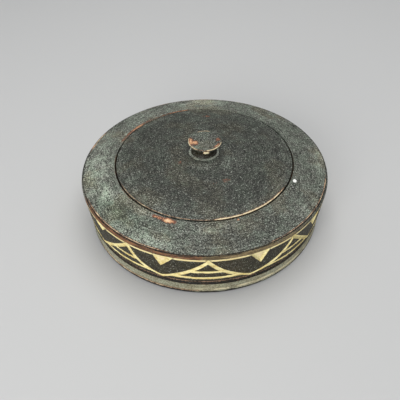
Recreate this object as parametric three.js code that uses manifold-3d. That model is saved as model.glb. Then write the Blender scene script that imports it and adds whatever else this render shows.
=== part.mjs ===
// A round, low wooden box: hollowed body with a carved side band, inset domed lid, turned knob.
// Millimetres, +Z up. The origin is the centre of the flat underside, and the front is -Y.
import * as THREE from "three";
import { mergeVertices } from "three/addons/utils/BufferGeometryUtils.js";
import Module from "manifold-3d";

const wasm = await Module();
wasm.setup();

// Outside of the body
const BODY_RADIUS = 115; // widest place, just over the carved band
const WIDEST_HEIGHT = 47.5; // height of that place over the underside
const WALL_TAPER = 2.4; // radius that the wall loses on its way down to the foot
const SHOULDER_INSET = 2.4; // from the widest place in to the outer edge of the domed top
const SHOULDER_RISE = 3.4; // from the widest place up to that edge
const SHOULDER_TURN_DEG = 60; // how far the rounded side turns in before it meets that edge
const DOME_RADIUS = 525; // one shallow dome runs over the shoulder and the lid

// Foot
const FOOT_STANDOUT = 0.2; // how far the foot stands out past the bottom of the wall
const FOOT_HEIGHT = 12.3;
const FOOT_WIDEST_HEIGHT = 2.5;
const FOOT_NECK_INSET = 0.9; // how far the foot draws in on its way up to the groove
const REST_INSET = 1.9; // from the foot's widest place in to the edge of the flat underside
const GROOVE_WIDTH = 1.5;
const GROOVE_DEPTH = 1.4;
const GROOVE_SLOPE_SHARE = 0.25; // share of its width that each sloping side of the groove takes

// Opening, ledge and hollow
const OPENING_RADIUS = 82.9;
const LEDGE_WIDTH = 7;
const LEDGE_THICKNESS = 5;
const FLOOR_THICKNESS = 9;
const WALL_THICKNESS = 18; // least wood between the hollow and the widest place
const HOLLOW_SHOULDER = 14; // height over which the hollow widens under the ledge
const FLOOR_CORNER = 12; // radius between floor and wall
const MOUTH_ROUND = 0.6; // worn edge round the opening

// Lid
const LID_SIDE_GAP = 0.9;
const SEAT_GAP = 0.3;
const LID_PROUD = 0.5; // how far the lid stands over the shoulder at the gap
const LID_EDGE_THICKNESS = 7.5;
const LID_EDGE_ROUND = 0.8;
const LID_RING_WIDTH = 13; // flat ring on the underside that sits on the ledge
const LID_HOLLOW_DEPTH = 3;
const LID_HOLLOW_SLOPE = 12; // width over which the hollow reaches its depth

// Knob
const KNOB_RADIUS = 15.7;
const KNOB_HEIGHT = 12;
const KNOB_FOOT_RADIUS = 12.3;
const KNOB_NECK_RADIUS = 10.8;
const KNOB_NECK_RISE = 3.2; // from the foot up to the narrowest place
const KNOB_RIM_THICKNESS = 1.6;
const KNOB_CROWN = 0.4; // rise of the top from rim to middle
const KNOB_EDGE_ROUND = 0.5;
const TENON_RADIUS = 6;
const TENON_LENGTH = 6.5;
const TENON_GAP = 0.3;
const KNOB_SEAT_MARGIN = 0.5; // flat wood left round the knob's foot

// Carved band: two turned lines, with a zigzag, cross bars and hanging triangles between them
const LINE_DEPTH = 0.8;
const UPPER_LINE_WIDTH = 1.6;
const UPPER_LINE_DROP = 0.7; // below the widest place
const LOWER_LINE_WIDTH = 1.7;
const LOWER_LINE_RISE = 1.5; // above the groove
const CHEVRON_COUNT = 10;
const FIRST_CHEVRON_DEG = 2.7; // the front chevron sits a little to the right
const STROKE_WIDTH = 3;
const STROKE_SAG = 2.5; // how far a stroke's middle hangs below the straight way to its foot
const BAR_WIDTH = 2.7;
const CUT_DEPTH = 1.2;
const CUT_FLOOR_SHARE = 0.5; // the cut narrows to this share of its width at the bottom
const APEX_DROP = 1.7; // from the upper line down to the middle of the stroke at an apex
const VALLEY_RISE = 1.5; // from the lower line up to the middle of the stroke at a valley
const BAR_SHARES = [0.42, 0.79]; // how far down its chevron each cross bar lies
const TRIANGLE_WIDTH = 17;
const TRIANGLE_DROP = 12.5;
const TRIANGLE_DEPTH = 1.5;
const TRIANGLE_BLUNT_SHARE = 0.06; // the corners of a hanging triangle are left this blunt

// The carver's spacing wanders: degrees off the even places, one chevron after the other
const APEX_WANDER_DEG = [-1, 1.5, 0.5, -1, 1, 0, -0.5, 1, -1, 0.5];
const VALLEY_WANDER_DEG = [-4.5, 1, 1.5, -1, 1, -1.5, 0.5, -1, -2.5, -1.5];
const TRIANGLE_WANDER_DEG = [1.5, -2.5, 0.5, 1, -1, 0.5, -0.5, 1, 1.5, -1.5];

// Fineness of the round shapes
const BODY_SIDES = 60;
const KNOB_SIDES = 40;
const ROUND_STEPS = 2; // on the rounds of the foot and the shoulder
const SHOULDER_DOME_STEPS = 2;
const LID_DOME_STEPS = 4;
const KNOB_SIDE_STEPS = 7;
const HOLLOW_STEPS = 4;
const CUT_STEP_DEG = 6;
const FEWEST_CUT_STEPS = 2; // one step either side of the tip of a hanging triangle
const CUT_OVERLAP_DEG = 0.4; // strokes run on past their ends, so that they meet
const CUT_OUTSIDE = 2; // how far a cutter stands out of the wall
const MERGE_TOLERANCE = 1e-4;

// Sizes that follow
const grooveTop = FOOT_HEIGHT + GROOVE_WIDTH;
const grooveSlope = GROOVE_WIDTH * GROOVE_SLOPE_SHARE;
const lowerLineBottom = grooveTop + LOWER_LINE_RISE;
const lowerLineTop = lowerLineBottom + LOWER_LINE_WIDTH;
const upperLineTop = WIDEST_HEIGHT - UPPER_LINE_DROP;
const upperLineBottom = upperLineTop - UPPER_LINE_WIDTH;
const shoulderRadius = BODY_RADIUS - SHOULDER_INSET;
const shoulderHeight = WIDEST_HEIGHT + SHOULDER_RISE;
const footRadius = BODY_RADIUS - WALL_TAPER + FOOT_STANDOUT;
const domeTop = shoulderHeight + domeDrop(shoulderRadius);
const mouthHeight = domeTop - domeDrop(OPENING_RADIUS);
const lidRadius = OPENING_RADIUS - LID_SIDE_GAP;
const lidEdgeHeight = domeTop - domeDrop(lidRadius) + LID_PROUD;
const lidSeatHeight = lidEdgeHeight - LID_EDGE_THICKNESS;
const ledgeHeight = lidSeatHeight - SEAT_GAP;
const ledgeRadius = OPENING_RADIUS - LEDGE_WIDTH;
const knobSeatRadius = KNOB_FOOT_RADIUS + KNOB_SEAT_MARGIN;
const knobSeatHeight = domeTop - domeDrop(knobSeatRadius) + LID_PROUD;
const knobFootHeight = knobSeatHeight + SEAT_GAP;
const tenonBottom = knobFootHeight - TENON_LENGTH;
const apexHeight = upperLineBottom - APEX_DROP;
const valleyHeight = lowerLineTop + VALLEY_RISE;

// How far the dome lies below its middle at a radius
function domeDrop(radius) {
  return DOME_RADIUS - Math.sqrt(DOME_RADIUS ** 2 - radius ** 2);
}

// Radius of the tapered side wall at a height
function wallRadius(height) {
  const share = (WIDEST_HEIGHT - height) / (WIDEST_HEIGHT - grooveTop);
  return BODY_RADIUS - WALL_TAPER * share;
}

function point(radius, height) {
  return new THREE.Vector2(radius, height);
}

// Points on the dome from one radius in to another, both ends included
function domePoints(fromRadius, toRadius, steps, lift) {
  const points = [];
  for (let i = 0; i <= steps; i += 1) {
    const radius = THREE.MathUtils.lerp(fromRadius, toRadius, i / steps);
    points.push(point(radius, domeTop - domeDrop(radius) + lift));
  }
  return points;
}

// Points on an ellipse round a centre, from one angle to another
function ellipsePoints(centre, radiusX, radiusY, fromDeg, toDeg, steps) {
  const curve = new THREE.EllipseCurve(
    centre.x, centre.y, radiusX, radiusY,
    THREE.MathUtils.degToRad(fromDeg), THREE.MathUtils.degToRad(toDeg), fromDeg > toDeg,
  );
  return curve.getPoints(steps);
}

// A groove turned into the side wall, with sloping sides
function turnedLine(bottom, top, depth) {
  const slope = (top - bottom) * (1 - CUT_FLOOR_SHARE) / 2;
  return [
    point(wallRadius(bottom), bottom),
    point(wallRadius(bottom + slope) - depth, bottom + slope),
    point(wallRadius(top - slope) - depth, top - slope),
    point(wallRadius(top), top),
  ];
}

// A closed three.js shape as a solid that can be joined and cut
function solidOf(geometry) {
  const bare = geometry.clone();
  bare.deleteAttribute("normal");
  bare.deleteAttribute("uv");
  const merged = mergeVertices(bare, MERGE_TOLERANCE);
  const kept = [];
  for (let i = 0; i < merged.index.count; i += 3) {
    const corners = [merged.index.getX(i), merged.index.getX(i + 1), merged.index.getX(i + 2)];
    if (new Set(corners).size === 3) kept.push(...corners);
  }
  return new wasm.Manifold(new wasm.Mesh({
    numProp: 3,
    vertProperties: new Float32Array(merged.attributes.position.array),
    triVerts: new Uint32Array(kept),
  }));
}

function geometryOf(solid) {
  const mesh = solid.getMesh();
  const geometry = new THREE.BufferGeometry();
  geometry.setAttribute("position", new THREE.BufferAttribute(mesh.vertProperties, 3));
  geometry.setIndex(new THREE.BufferAttribute(mesh.triVerts, 1));
  geometry.computeVertexNormals();
  return geometry;
}

// A profile of radius and height, turned round +Z
function turned(profile, sides) {
  const geometry = new THREE.LatheGeometry(profile, sides);
  geometry.rotateX(Math.PI / 2);
  return solidOf(geometry);
}

// A cutter along the wall between two azimuths, bent to the wall.
// edgesAt gives the heights of its lower and upper edge at a share of its length.
function bentCutter(fromDeg, toDeg, edgesAt, depth) {
  const steps = Math.max(FEWEST_CUT_STEPS, Math.ceil(Math.abs(toDeg - fromDeg) / CUT_STEP_DEG));
  const geometry = new THREE.BoxGeometry(1, 1, 1, steps, 1, 1);
  const corners = geometry.attributes.position;
  for (let i = 0; i < corners.count; i += 1) {
    const share = corners.getX(i) + 0.5;
    const outside = corners.getZ(i) > 0;
    const { lower, upper } = edgesAt(share);
    const halfHeight = (upper - lower) / 2 * (outside ? 1 : CUT_FLOOR_SHARE);
    const height = (lower + upper) / 2 + Math.sign(corners.getY(i)) * halfHeight;
    const radius = wallRadius(height) + (outside ? CUT_OUTSIDE : -depth);
    const azimuth = THREE.MathUtils.degToRad(THREE.MathUtils.lerp(fromDeg, toDeg, share));
    corners.setXYZ(i, radius * Math.sin(azimuth), -radius * Math.cos(azimuth), height);
  }
  return solidOf(geometry);
}

// One gouge stroke between two places, hanging by its sag in the middle.
// Its width is measured across it, so a slanting one is taller.
function stroke(from, to, width, sag) {
  const run = THREE.MathUtils.degToRad(to.azimuth - from.azimuth) * BODY_RADIUS;
  const halfHeight = width * Math.hypot(run, to.height - from.height) / Math.abs(run) / 2;
  const overlap = CUT_OVERLAP_DEG / Math.abs(to.azimuth - from.azimuth);
  const start = between(from, to, -overlap, sag);
  const end = between(from, to, 1 + overlap, sag);
  const edgesAt = (share) => {
    const middle = between(start, end, share, sag).height;
    return { lower: middle - halfHeight, upper: middle + halfHeight };
  };
  return bentCutter(start.azimuth, end.azimuth, edgesAt, CUT_DEPTH);
}

// A solid triangle that hangs from the upper line
function hangingTriangle(azimuth) {
  const halfSpan = THREE.MathUtils.radToDeg(TRIANGLE_WIDTH / 2 / BODY_RADIUS);
  const edgesAt = (share) => {
    const taper = Math.max(1 - Math.abs(2 * share - 1), TRIANGLE_BLUNT_SHARE);
    return { lower: upperLineBottom - TRIANGLE_DROP * taper, upper: upperLineTop };
  };
  return bentCutter(azimuth - halfSpan, azimuth + halfSpan, edgesAt, TRIANGLE_DEPTH);
}

// The place at a share of the way along a line that hangs by its sag in the middle
function between(from, to, share, sag) {
  return {
    azimuth: THREE.MathUtils.lerp(from.azimuth, to.azimuth, share),
    height: THREE.MathUtils.lerp(from.height, to.height, share) - 4 * sag * share * (1 - share),
  };
}

// The carving: two strokes, the cross bars between them and a hanging triangle for each chevron
function carvingCutters() {
  const pitch = 360 / CHEVRON_COUNT;
  const placed = (list, index, offset) => {
    const wander = list[(index + CHEVRON_COUNT) % CHEVRON_COUNT % list.length];
    return FIRST_CHEVRON_DEG + pitch * (index + offset) + wander;
  };
  const cutters = [];
  for (let i = 0; i < CHEVRON_COUNT; i += 1) {
    const apex = { azimuth: placed(APEX_WANDER_DEG, i, 0), height: apexHeight };
    const left = { azimuth: placed(VALLEY_WANDER_DEG, i - 1, 0.5), height: valleyHeight };
    const right = { azimuth: placed(VALLEY_WANDER_DEG, i, 0.5), height: valleyHeight };
    cutters.push(stroke(left, apex, STROKE_WIDTH, STROKE_SAG));
    cutters.push(stroke(apex, right, STROKE_WIDTH, STROKE_SAG));
    for (const share of BAR_SHARES) {
      const leftEnd = between(apex, left, share, STROKE_SAG);
      const rightEnd = between(apex, right, share, STROKE_SAG);
      cutters.push(stroke(leftEnd, rightEnd, BAR_WIDTH, 0));
    }
    cutters.push(hangingTriangle(placed(TRIANGLE_WANDER_DEG, i, 0.5)));
  }
  return cutters;
}

function bodySolid() {
  const hollowRadius = BODY_RADIUS - WALL_THICKNESS;
  const restRadius = footRadius - REST_INSET;
  const hollowTop = ledgeHeight - LEDGE_THICKNESS;
  const hollowWidest = hollowTop - HOLLOW_SHOULDER;
  const profile = [
    point(0, 0),
    ...ellipsePoints(
      point(restRadius, FOOT_WIDEST_HEIGHT),
      REST_INSET, FOOT_WIDEST_HEIGHT, -90, 0, ROUND_STEPS,
    ),
    point(footRadius - FOOT_NECK_INSET, FOOT_HEIGHT),
    point(wallRadius(grooveTop) - GROOVE_DEPTH, FOOT_HEIGHT + grooveSlope),
    point(wallRadius(grooveTop) - GROOVE_DEPTH, grooveTop - grooveSlope),
    point(wallRadius(grooveTop), grooveTop),
    ...turnedLine(lowerLineBottom, lowerLineTop, LINE_DEPTH),
    ...turnedLine(upperLineBottom, upperLineTop, LINE_DEPTH),
    ...ellipsePoints(
      point(shoulderRadius, WIDEST_HEIGHT),
      SHOULDER_INSET, SHOULDER_RISE, 0, SHOULDER_TURN_DEG, ROUND_STEPS,
    ),
    ...domePoints(shoulderRadius, OPENING_RADIUS + MOUTH_ROUND, SHOULDER_DOME_STEPS, 0),
    point(OPENING_RADIUS, mouthHeight - MOUTH_ROUND),
    point(OPENING_RADIUS, ledgeHeight),
    point(ledgeRadius, ledgeHeight),
    ...ellipsePoints(
      point(ledgeRadius, hollowWidest),
      hollowRadius - ledgeRadius, HOLLOW_SHOULDER, 90, 0, HOLLOW_STEPS,
    ),
    ...ellipsePoints(
      point(hollowRadius - FLOOR_CORNER, FLOOR_THICKNESS + FLOOR_CORNER),
      FLOOR_CORNER, FLOOR_CORNER, 0, -90, HOLLOW_STEPS,
    ),
    point(0, FLOOR_THICKNESS),
  ];
  return turned(profile, BODY_SIDES);
}

function lidSolid() {
  const ringRadius = lidRadius - LID_RING_WIDTH;
  const hollowHeight = lidSeatHeight + LID_HOLLOW_DEPTH;
  const holeRadius = TENON_RADIUS + TENON_GAP;
  const holeBottom = tenonBottom - TENON_GAP;
  const profile = [
    point(0, hollowHeight),
    point(ringRadius - LID_HOLLOW_SLOPE, hollowHeight),
    point(ringRadius, lidSeatHeight),
    point(lidRadius - LID_EDGE_ROUND, lidSeatHeight),
    point(lidRadius, lidSeatHeight + LID_EDGE_ROUND),
    point(lidRadius, lidEdgeHeight - LID_EDGE_ROUND),
    ...domePoints(lidRadius - LID_EDGE_ROUND, knobSeatRadius, LID_DOME_STEPS, LID_PROUD),
    point(holeRadius, knobSeatHeight),
    point(holeRadius, holeBottom),
    point(0, holeBottom),
  ];
  return turned(profile, BODY_SIDES);
}

function knobSolid() {
  const top = knobFootHeight + KNOB_HEIGHT;
  const rimBottom = top - KNOB_RIM_THICKNESS;
  const neckHeight = knobFootHeight + KNOB_NECK_RISE;
  const side = new THREE.SplineCurve([
    point(KNOB_FOOT_RADIUS, knobFootHeight + KNOB_EDGE_ROUND),
    point(KNOB_NECK_RADIUS, neckHeight),
    point((KNOB_NECK_RADIUS + KNOB_RADIUS) / 2, (neckHeight + rimBottom) / 2),
    point(KNOB_RADIUS, rimBottom),
  ]);
  const profile = [
    point(0, tenonBottom),
    point(TENON_RADIUS - KNOB_EDGE_ROUND, tenonBottom),
    point(TENON_RADIUS, tenonBottom + KNOB_EDGE_ROUND),
    point(TENON_RADIUS, knobFootHeight),
    point(KNOB_FOOT_RADIUS - KNOB_EDGE_ROUND, knobFootHeight),
    ...side.getPoints(KNOB_SIDE_STEPS),
    point(KNOB_RADIUS, top - KNOB_EDGE_ROUND),
    point(KNOB_RADIUS - KNOB_EDGE_ROUND, top),
    point(0, top + KNOB_CROWN),
  ];
  return turned(profile, KNOB_SIDES);
}

// A wooden piece in its scorched colour
function piece(name, solid, colour, roughness) {
  const material = new THREE.MeshStandardMaterial({ color: colour, roughness, metalness: 0 });
  const mesh = new THREE.Mesh(geometryOf(solid), material);
  mesh.name = name;
  return mesh;
}

const carving = carvingCutters().reduce((whole, cutter) => whole.add(cutter));

const box = new THREE.Group();
box.add(piece("box_body", bodySolid().subtract(carving), 0x565a52, 0.75));
box.add(piece("lid", lidSolid(), 0x4a4e47, 0.7));
box.add(piece("knob", knobSolid(), 0x544c42, 0.65));

export default box;
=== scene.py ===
"""A low round wooden box with a carved side band and a lid that lifts off, dressed on its frame."""

import math
from collections import namedtuple

import bpy
import numpy as np
from bpy.props import FloatProperty, FloatVectorProperty, IntProperty, PointerProperty
from mathutils import Matrix, Vector


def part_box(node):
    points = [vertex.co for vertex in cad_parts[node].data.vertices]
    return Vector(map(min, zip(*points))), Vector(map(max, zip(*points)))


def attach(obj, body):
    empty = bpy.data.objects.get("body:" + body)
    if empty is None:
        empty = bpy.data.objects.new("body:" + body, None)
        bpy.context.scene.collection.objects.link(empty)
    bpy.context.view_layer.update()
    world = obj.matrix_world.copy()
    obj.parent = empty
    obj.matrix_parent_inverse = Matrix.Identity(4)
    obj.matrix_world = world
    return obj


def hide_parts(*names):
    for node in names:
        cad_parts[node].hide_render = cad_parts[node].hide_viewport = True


bl_info = {
    "name": "Carved Round Box",
    "version": (1, 0, 0),
    "blender": (4, 5, 0),
    "location": "3D View > Sidebar > Carved Box",
    "description": "Builds a scorched round wooden box with a carved band, a loose lid and a knob",
    "category": "Add Mesh",
}

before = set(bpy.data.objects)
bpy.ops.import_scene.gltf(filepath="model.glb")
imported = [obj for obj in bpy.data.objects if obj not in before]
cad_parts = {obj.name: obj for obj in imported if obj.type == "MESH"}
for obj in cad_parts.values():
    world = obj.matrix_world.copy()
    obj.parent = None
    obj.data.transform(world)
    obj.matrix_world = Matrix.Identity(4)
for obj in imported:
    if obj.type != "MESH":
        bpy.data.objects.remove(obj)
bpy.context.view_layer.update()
BODY_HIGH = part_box("box_body")[1]
LID_LOW, LID_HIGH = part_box("lid")
KNOB_LOW, KNOB_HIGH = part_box("knob")

MM = 0.001
MIX_COLOUR_SOCKETS = (6, 7, 2)  # colour A, colour B and result among a Mix node's sockets

# Fineness of the meshes: columns round a ring, steps along the outline in millimetres, and steps
# in which a bend is drawn
BAND_COLUMNS = 1080
TOP_COLUMNS = 540
INSIDE_COLUMNS = 180
CENTRE_COLUMNS = 90
KNOB_COLUMNS = 160
STAGE_COLUMNS = 96
KNOB_STEP = 0.45
BAND_STEP = 0.64
FOOT_STEP = 1.2
TOP_STEP = 1.4
RING_STEP = 1.6
SIDE_STEP = 2
LEDGE_STEP = 2.4
HOLE_STEP = 3
INSIDE_STEP = 4
TENON_STEPS = 2
ROUND_STEPS = 4
EDGE_STEPS = 5
BEND_STEPS = 6
BAR_STEPS = 6
HOLLOW_STEPS = 10
LEG_STEPS = 12
SWEEP_STEPS = 12
SIDE_STEPS = 20
SAME_PLACE = 1e-6  # metres within which two places are taken for one

# The carver's hand wanders, one chevron after the other from the front one: degrees off the even
# places, millimetres that an apex stands higher, how far the left and right leg hang in, and how
# far a triangle's tip leans to the right and how deep it reaches for its size
APEX_WANDER_DEG = (-1.5, 0, 0.5, -1, 1, 0, -0.5, 1, -1, 0.4)
APEX_LIFT_MM = (0.5, 1.7, 0.8, 0.3, 1.2, 0.6, 1.4, 0.4, 1, 1.7)
VALLEY_WANDER_DEG = (-1.8, -3.1, 1.5, -1, 1, -1.5, 0.5, -1, -0.7, -3)
LEG_HANGS = (
    (0.26, 0.33), (0.6, 0.02), (0.3, 0.2), (0.15, 0.4), (0.35, 0.25),
    (0.2, 0.3), (0.4, 0.15), (0.25, 0.35), (0.3, 0.3), (0.12, 0.6),
)
TRIANGLE_WANDER_DEG = (1.6, -2.5, 0.5, 1, -1, 0.5, -0.5, 1, 1.6, -1.5)
TRIANGLE_LEAN_MM = (2, 3, -1, 1.5, 0, -2, 1, -1.5, 0.3, -3)
TRIANGLE_REACH = (1.1, 1.1, 0.9, 1, 1.05, 0.85, 1, 0.95, 0.6, 0.97)

# A rubbed edge: where it runs in the outline, how wide the rub is, how worn it is all round,
# and the stretches (from and to in degrees, strength) that are worn further
Edge = namedtuple("Edge", "radius height spread base stretches")

# A patch on a surface: degrees round from the front, radius, half length round the box,
# half width across, strength. Lengths are in millimetres.
Patch = namedtuple("Patch", "azimuth radius half_length half_width strength")


def length(name, description, millimetres):
    """A length setting whose default is given in millimetres."""
    return FloatProperty(
        name=name, description=description, default=millimetres * MM,
        min=0, unit="LENGTH", subtype="DISTANCE", precision=5,
    )


def angle(name, description, degrees):
    """An angle setting whose default is given in degrees."""
    return FloatProperty(
        name=name, description=description, default=math.radians(degrees),
        unit="ROTATION", subtype="ANGLE",
    )


def power(name, description, watts):
    """The power setting of a lamp."""
    return FloatProperty(
        name=name, description=description, default=watts, min=0, unit="POWER",
    )


def linear(value):
    """One channel of a display colour, 0 to 255, as a linear share of light."""
    share = value / 255
    if share <= 0.04045:
        return share / 12.92
    return ((share + 0.055) / 1.055) ** 2.4


def colour(name, description, red, green, blue):
    """A colour setting whose default is given as a display colour."""
    return FloatVectorProperty(
        name=name, description=description, size=3, subtype="COLOR", min=0, max=1,
        default=(linear(red), linear(green), linear(blue)),
    )


class BodySizes(bpy.types.PropertyGroup):
    """Sizes of the hollowed body."""
    widest_height: length("Widest Height", "Height of the widest place", 47.5)
    wall_taper: length("Wall Taper", "Radius that the wall loses on its way down to the foot", 2.4)
    shoulder_inset: length("Shoulder Inset", "From the widest place in to the shoulder's edge", 2.4)
    shoulder_rise: length("Shoulder Rise", "From the widest place up to the shoulder's edge", 3.4)
    dome_radius: length("Dome Radius", "Radius of the dome over shoulder and lid", 525)
    foot_standout: length("Foot Standout", "How far the foot stands out past the wall", 0.2)
    foot_height: length("Foot Height", "Height of the foot", 12.3)
    foot_widest_height: length("Foot Widest Height", "Height where the foot is widest", 2.5)
    foot_neck_inset: length("Foot Neck Inset", "How far the foot draws in to the groove", 0.9)
    rest_inset: length("Rest Inset", "From the foot's widest place to the flat underside", 1.9)
    groove_width: length("Groove Width", "Width of the groove over the foot", 1.5)
    groove_depth: length("Groove Depth", "Depth of the groove over the foot", 1.4)
    ledge_width: length("Ledge Width", "Width of the ledge that carries the lid", 7)
    ledge_thickness: length("Ledge Thickness", "Wood under the ledge", 5)
    floor_thickness: length("Floor Thickness", "Thickness of the floor", 9)
    wall_thickness: length("Wall Thickness", "Least wood in the wall", 18)
    hollow_shoulder: length("Hollow Shoulder", "Height over which the hollow widens", 14)
    floor_corner: length("Floor Corner", "Radius between floor and wall inside", 12)
    mouth_round: length("Mouth Round", "Rounding of the edge round the opening", 0.6)
    edge_groove: length("Edge Groove", "Width of the scratched groove under the shoulder's edge", 0.55)


class LidSizes(bpy.types.PropertyGroup):
    """Sizes of the lid."""
    side_gap: length("Side Gap", "Gap all round the lid", 0.9)
    seat_gap: length("Seat Gap", "Gap between the lid and what it sits on", 0.3)
    proud: length("Proud", "How far the lid stands over the shoulder", 0.5)
    edge_round: length("Edge Round", "Rounding of the lid's edges", 0.8)
    ring_width: length("Ring Width", "Flat ring on the underside that sits on the ledge", 13)
    hollow_depth: length("Hollow Depth", "Depth of the hollow underside", 3)
    hollow_slope: length("Hollow Slope", "Width over which that hollow reaches its depth", 12)
    seat_margin: length("Seat Margin", "Flat wood left round the knob's foot", 0.5)
    tenon_gap: length("Tenon Gap", "Gap round the knob's tenon", 0.3)


class KnobSizes(bpy.types.PropertyGroup):
    """Sizes of the knob."""
    height: length("Height", "From foot to rim", 12)
    foot_radius: length("Foot Radius", "Radius of the knob's foot", 12.3)
    neck_radius: length("Neck Radius", "Radius at the narrowest place", 10.8)
    neck_rise: length("Neck Rise", "From the foot up to the narrowest place", 3.2)
    rim_thickness: length("Rim Thickness", "Height of the rim's upright edge", 1.6)
    edge_round: length("Edge Round", "Rounding of the knob's edges", 0.5)
    tenon_radius: length("Tenon Radius", "Radius of the tenon in the lid", 6)
    top_sag: length("Top Sag", "How far the worn top dips between rim and middle", 0.25)
    rim_wobble: length("Rim Wobble", "How far the worn rim draws in here and there", 0.4)
    lug: length("Lug", "How far down the rim was left thick in one place at the front", 3.5)
    worn_in: length("Worn In", "How far the rim is worn in on its most handled side", 1.3)
    spread: length("Spread", "How far the rim stands out on the other side", 0.8)


class CarvingSizes(bpy.types.PropertyGroup):
    """Sizes of the carved band."""
    chevrons: IntProperty(name="Chevrons", description="Chevrons round the box", default=10, min=3)
    first_chevron: angle("First Chevron", "Turn of the front chevron to the right", 2.7)
    line_depth: length("Line Depth", "Depth of the two turned lines", 0.8)
    upper_line_width: length("Upper Line Width", "Width of the upper turned line", 1.6)
    upper_line_drop: length("Upper Line Drop", "From the widest place to the upper line", 0.7)
    lower_line_width: length("Lower Line Width", "Width of the lower turned line", 1.7)
    lower_line_rise: length("Lower Line Rise", "From the groove up to the lower line", 1.5)
    stroke_width: length("Stroke Width", "Width of a chevron's strokes", 3.5)
    stroke_taper: length("Stroke Taper", "Height over which a stroke widens from its foot", 7)
    bar_width: length("Bar Width", "Width of the cross bars", 2.5)
    cut_depth: length("Cut Depth", "Depth of the strokes and bars", 1.2)
    cut_slope: length("Cut Slope", "Width of a cut's sloping side", 0.8)
    apex_drop: length("Apex Drop", "From the upper line down to an apex", 1.7)
    valley_rise: length("Valley Rise", "From the lower line up to a valley", 1.5)
    upper_bar_rise: length("Upper Bar Rise", "From a valley up to the upper bar", 12)
    lower_bar_rise: length("Lower Bar Rise", "From a valley up to the lower bar", 3.6)
    bar_sag: length("Bar Sag", "How far a cross bar hangs in its middle", 0.5)
    triangle_width: length("Triangle Width", "Width of a hanging triangle", 17)
    triangle_drop: length("Triangle Drop", "Height of a hanging triangle", 12.5)
    triangle_depth: length("Triangle Depth", "Depth of a hanging triangle", 1.5)
    unsteady: length("Unsteady", "How far the hand strays from a straight cut", 0.45)


class FinishColours(bpy.types.PropertyGroup):
    """Colours of the wood, scorched, rubbed and fresh cut."""
    char_dark: colour("Char Dark", "Darkest scorched wood", 31, 32, 27)
    char_pale: colour("Char Pale", "Palest bloom on the scorched wood", 193, 196, 181)
    cool: colour("Cool", "Blue green tint here and there", 246, 255, 250)
    warm: colour("Warm", "Brown tint where wood shows through the skin", 255, 248, 236)
    bare_char: colour("Bare Char", "Brown tint where no bloom lies", 252, 228, 194)
    green: colour("Green", "Green tint on the left of the shoulder", 232, 248, 236)
    speck: colour("Speck", "Light flecks in the open grain", 206, 212, 200)
    # Painted shade: this colour darkens the scratched groove under the shoulder's edge, the groove
    # over the foot, the sides of the lower line and the foot's bottom edge
    groove: colour("Groove", "Dark in the grooves", 26, 24, 19)
    strip_red: colour("Strip Red", "Red brown streaks under the shoulder's edge", 138, 98, 68)
    strip_red_dark: colour("Strip Red Dark", "Dark red brown between them", 60, 38, 23)
    strip_olive: colour("Strip Olive", "Olive streaks under the shoulder's edge", 146, 128, 94)
    strip_olive_dark: colour("Strip Olive Dark", "Dark olive between them", 80, 68, 46)
    foot_tan: colour("Foot Tan", "Rubbed skin on the foot", 150, 142, 110)
    faint_line: colour("Faint Line", "The lower turned line", 190, 154, 126)
    rub_brown: colour("Rub Brown", "Where an edge's skin is rubbed thin", 104, 72, 54)
    rub_tan: colour("Rub Tan", "Where an edge is rubbed through", 208, 180, 146)
    rub_pale: colour("Rub Pale", "Bare wood on the sharpest edges", 246, 232, 190)
    chip_brown: colour("Chip Brown", "Reddish brown round a chip", 118, 76, 58)
    chip_orange: colour("Chip Orange", "Orange wood in a chip", 206, 156, 116)
    chip_pale: colour("Chip Pale", "Palest wood in a chip", 234, 200, 158)
    cut_pale: colour("Cut Pale", "Freshly cut wood", 250, 240, 184)
    cut_shade: colour("Cut Shade", "Darker streaks in the cuts", 216, 192, 122)
    cut_edge: colour("Cut Edge", "Edges of the cuts", 148, 132, 84)
    spot: colour("Spot", "White fleck on the shoulder", 246, 246, 241)
    cut_burn: colour("Cut Burn", "Scorched skin beside a cut", 50, 36, 32)
    cut_flesh: colour("Cut Flesh", "Pinkish wood in the hanging triangles", 250, 226, 192)
    inside: colour("Inside", "Wood inside the box", 98, 72, 50)
    inside_dark: colour("Inside Dark", "Darker grain inside the box", 52, 38, 28)


class StageSettings(bpy.types.PropertyGroup):
    """Floor, lamps and camera."""
    floor: colour("Floor", "Pale floor and backdrop", 200, 200, 199)
    camera_height: length("Camera Height", "Height of the camera", 309.4)
    camera_distance: length("Camera Distance", "Level distance of the camera in front", 320.8)
    camera_pitch: angle("Camera Pitch", "How far the camera looks down", 43.89)
    camera_turn: angle("Camera Turn", "How far the camera looks to the left", 0.82)
    camera_roll: angle("Camera Roll", "How far the camera leans", -1.16)
    focal_length: FloatProperty(
        name="Focal Length", description="Focal length on a 36 mm sensor, in millimetres",
        default=38.97, min=1, unit="CAMERA",
    )
    top_lamp: power("Top Lamp", "Power of the large lamp overhead", 13)
    side_lamp: power("Side Lamp", "Power of the low lamp in front", 12)
    sky: FloatProperty(
        name="Sky", description="Strength of the light from all round",
        default=0.5, min=0, subtype="FACTOR",
    )


class CarvedBoxSettings(bpy.types.PropertyGroup):
    """All settings of the carved box."""
    body: PointerProperty(type=BodySizes)
    lid: PointerProperty(type=LidSizes)
    knob: PointerProperty(type=KnobSizes)
    carving: PointerProperty(type=CarvingSizes)
    finish: PointerProperty(type=FinishColours)
    stage: PointerProperty(type=StageSettings)


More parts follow.
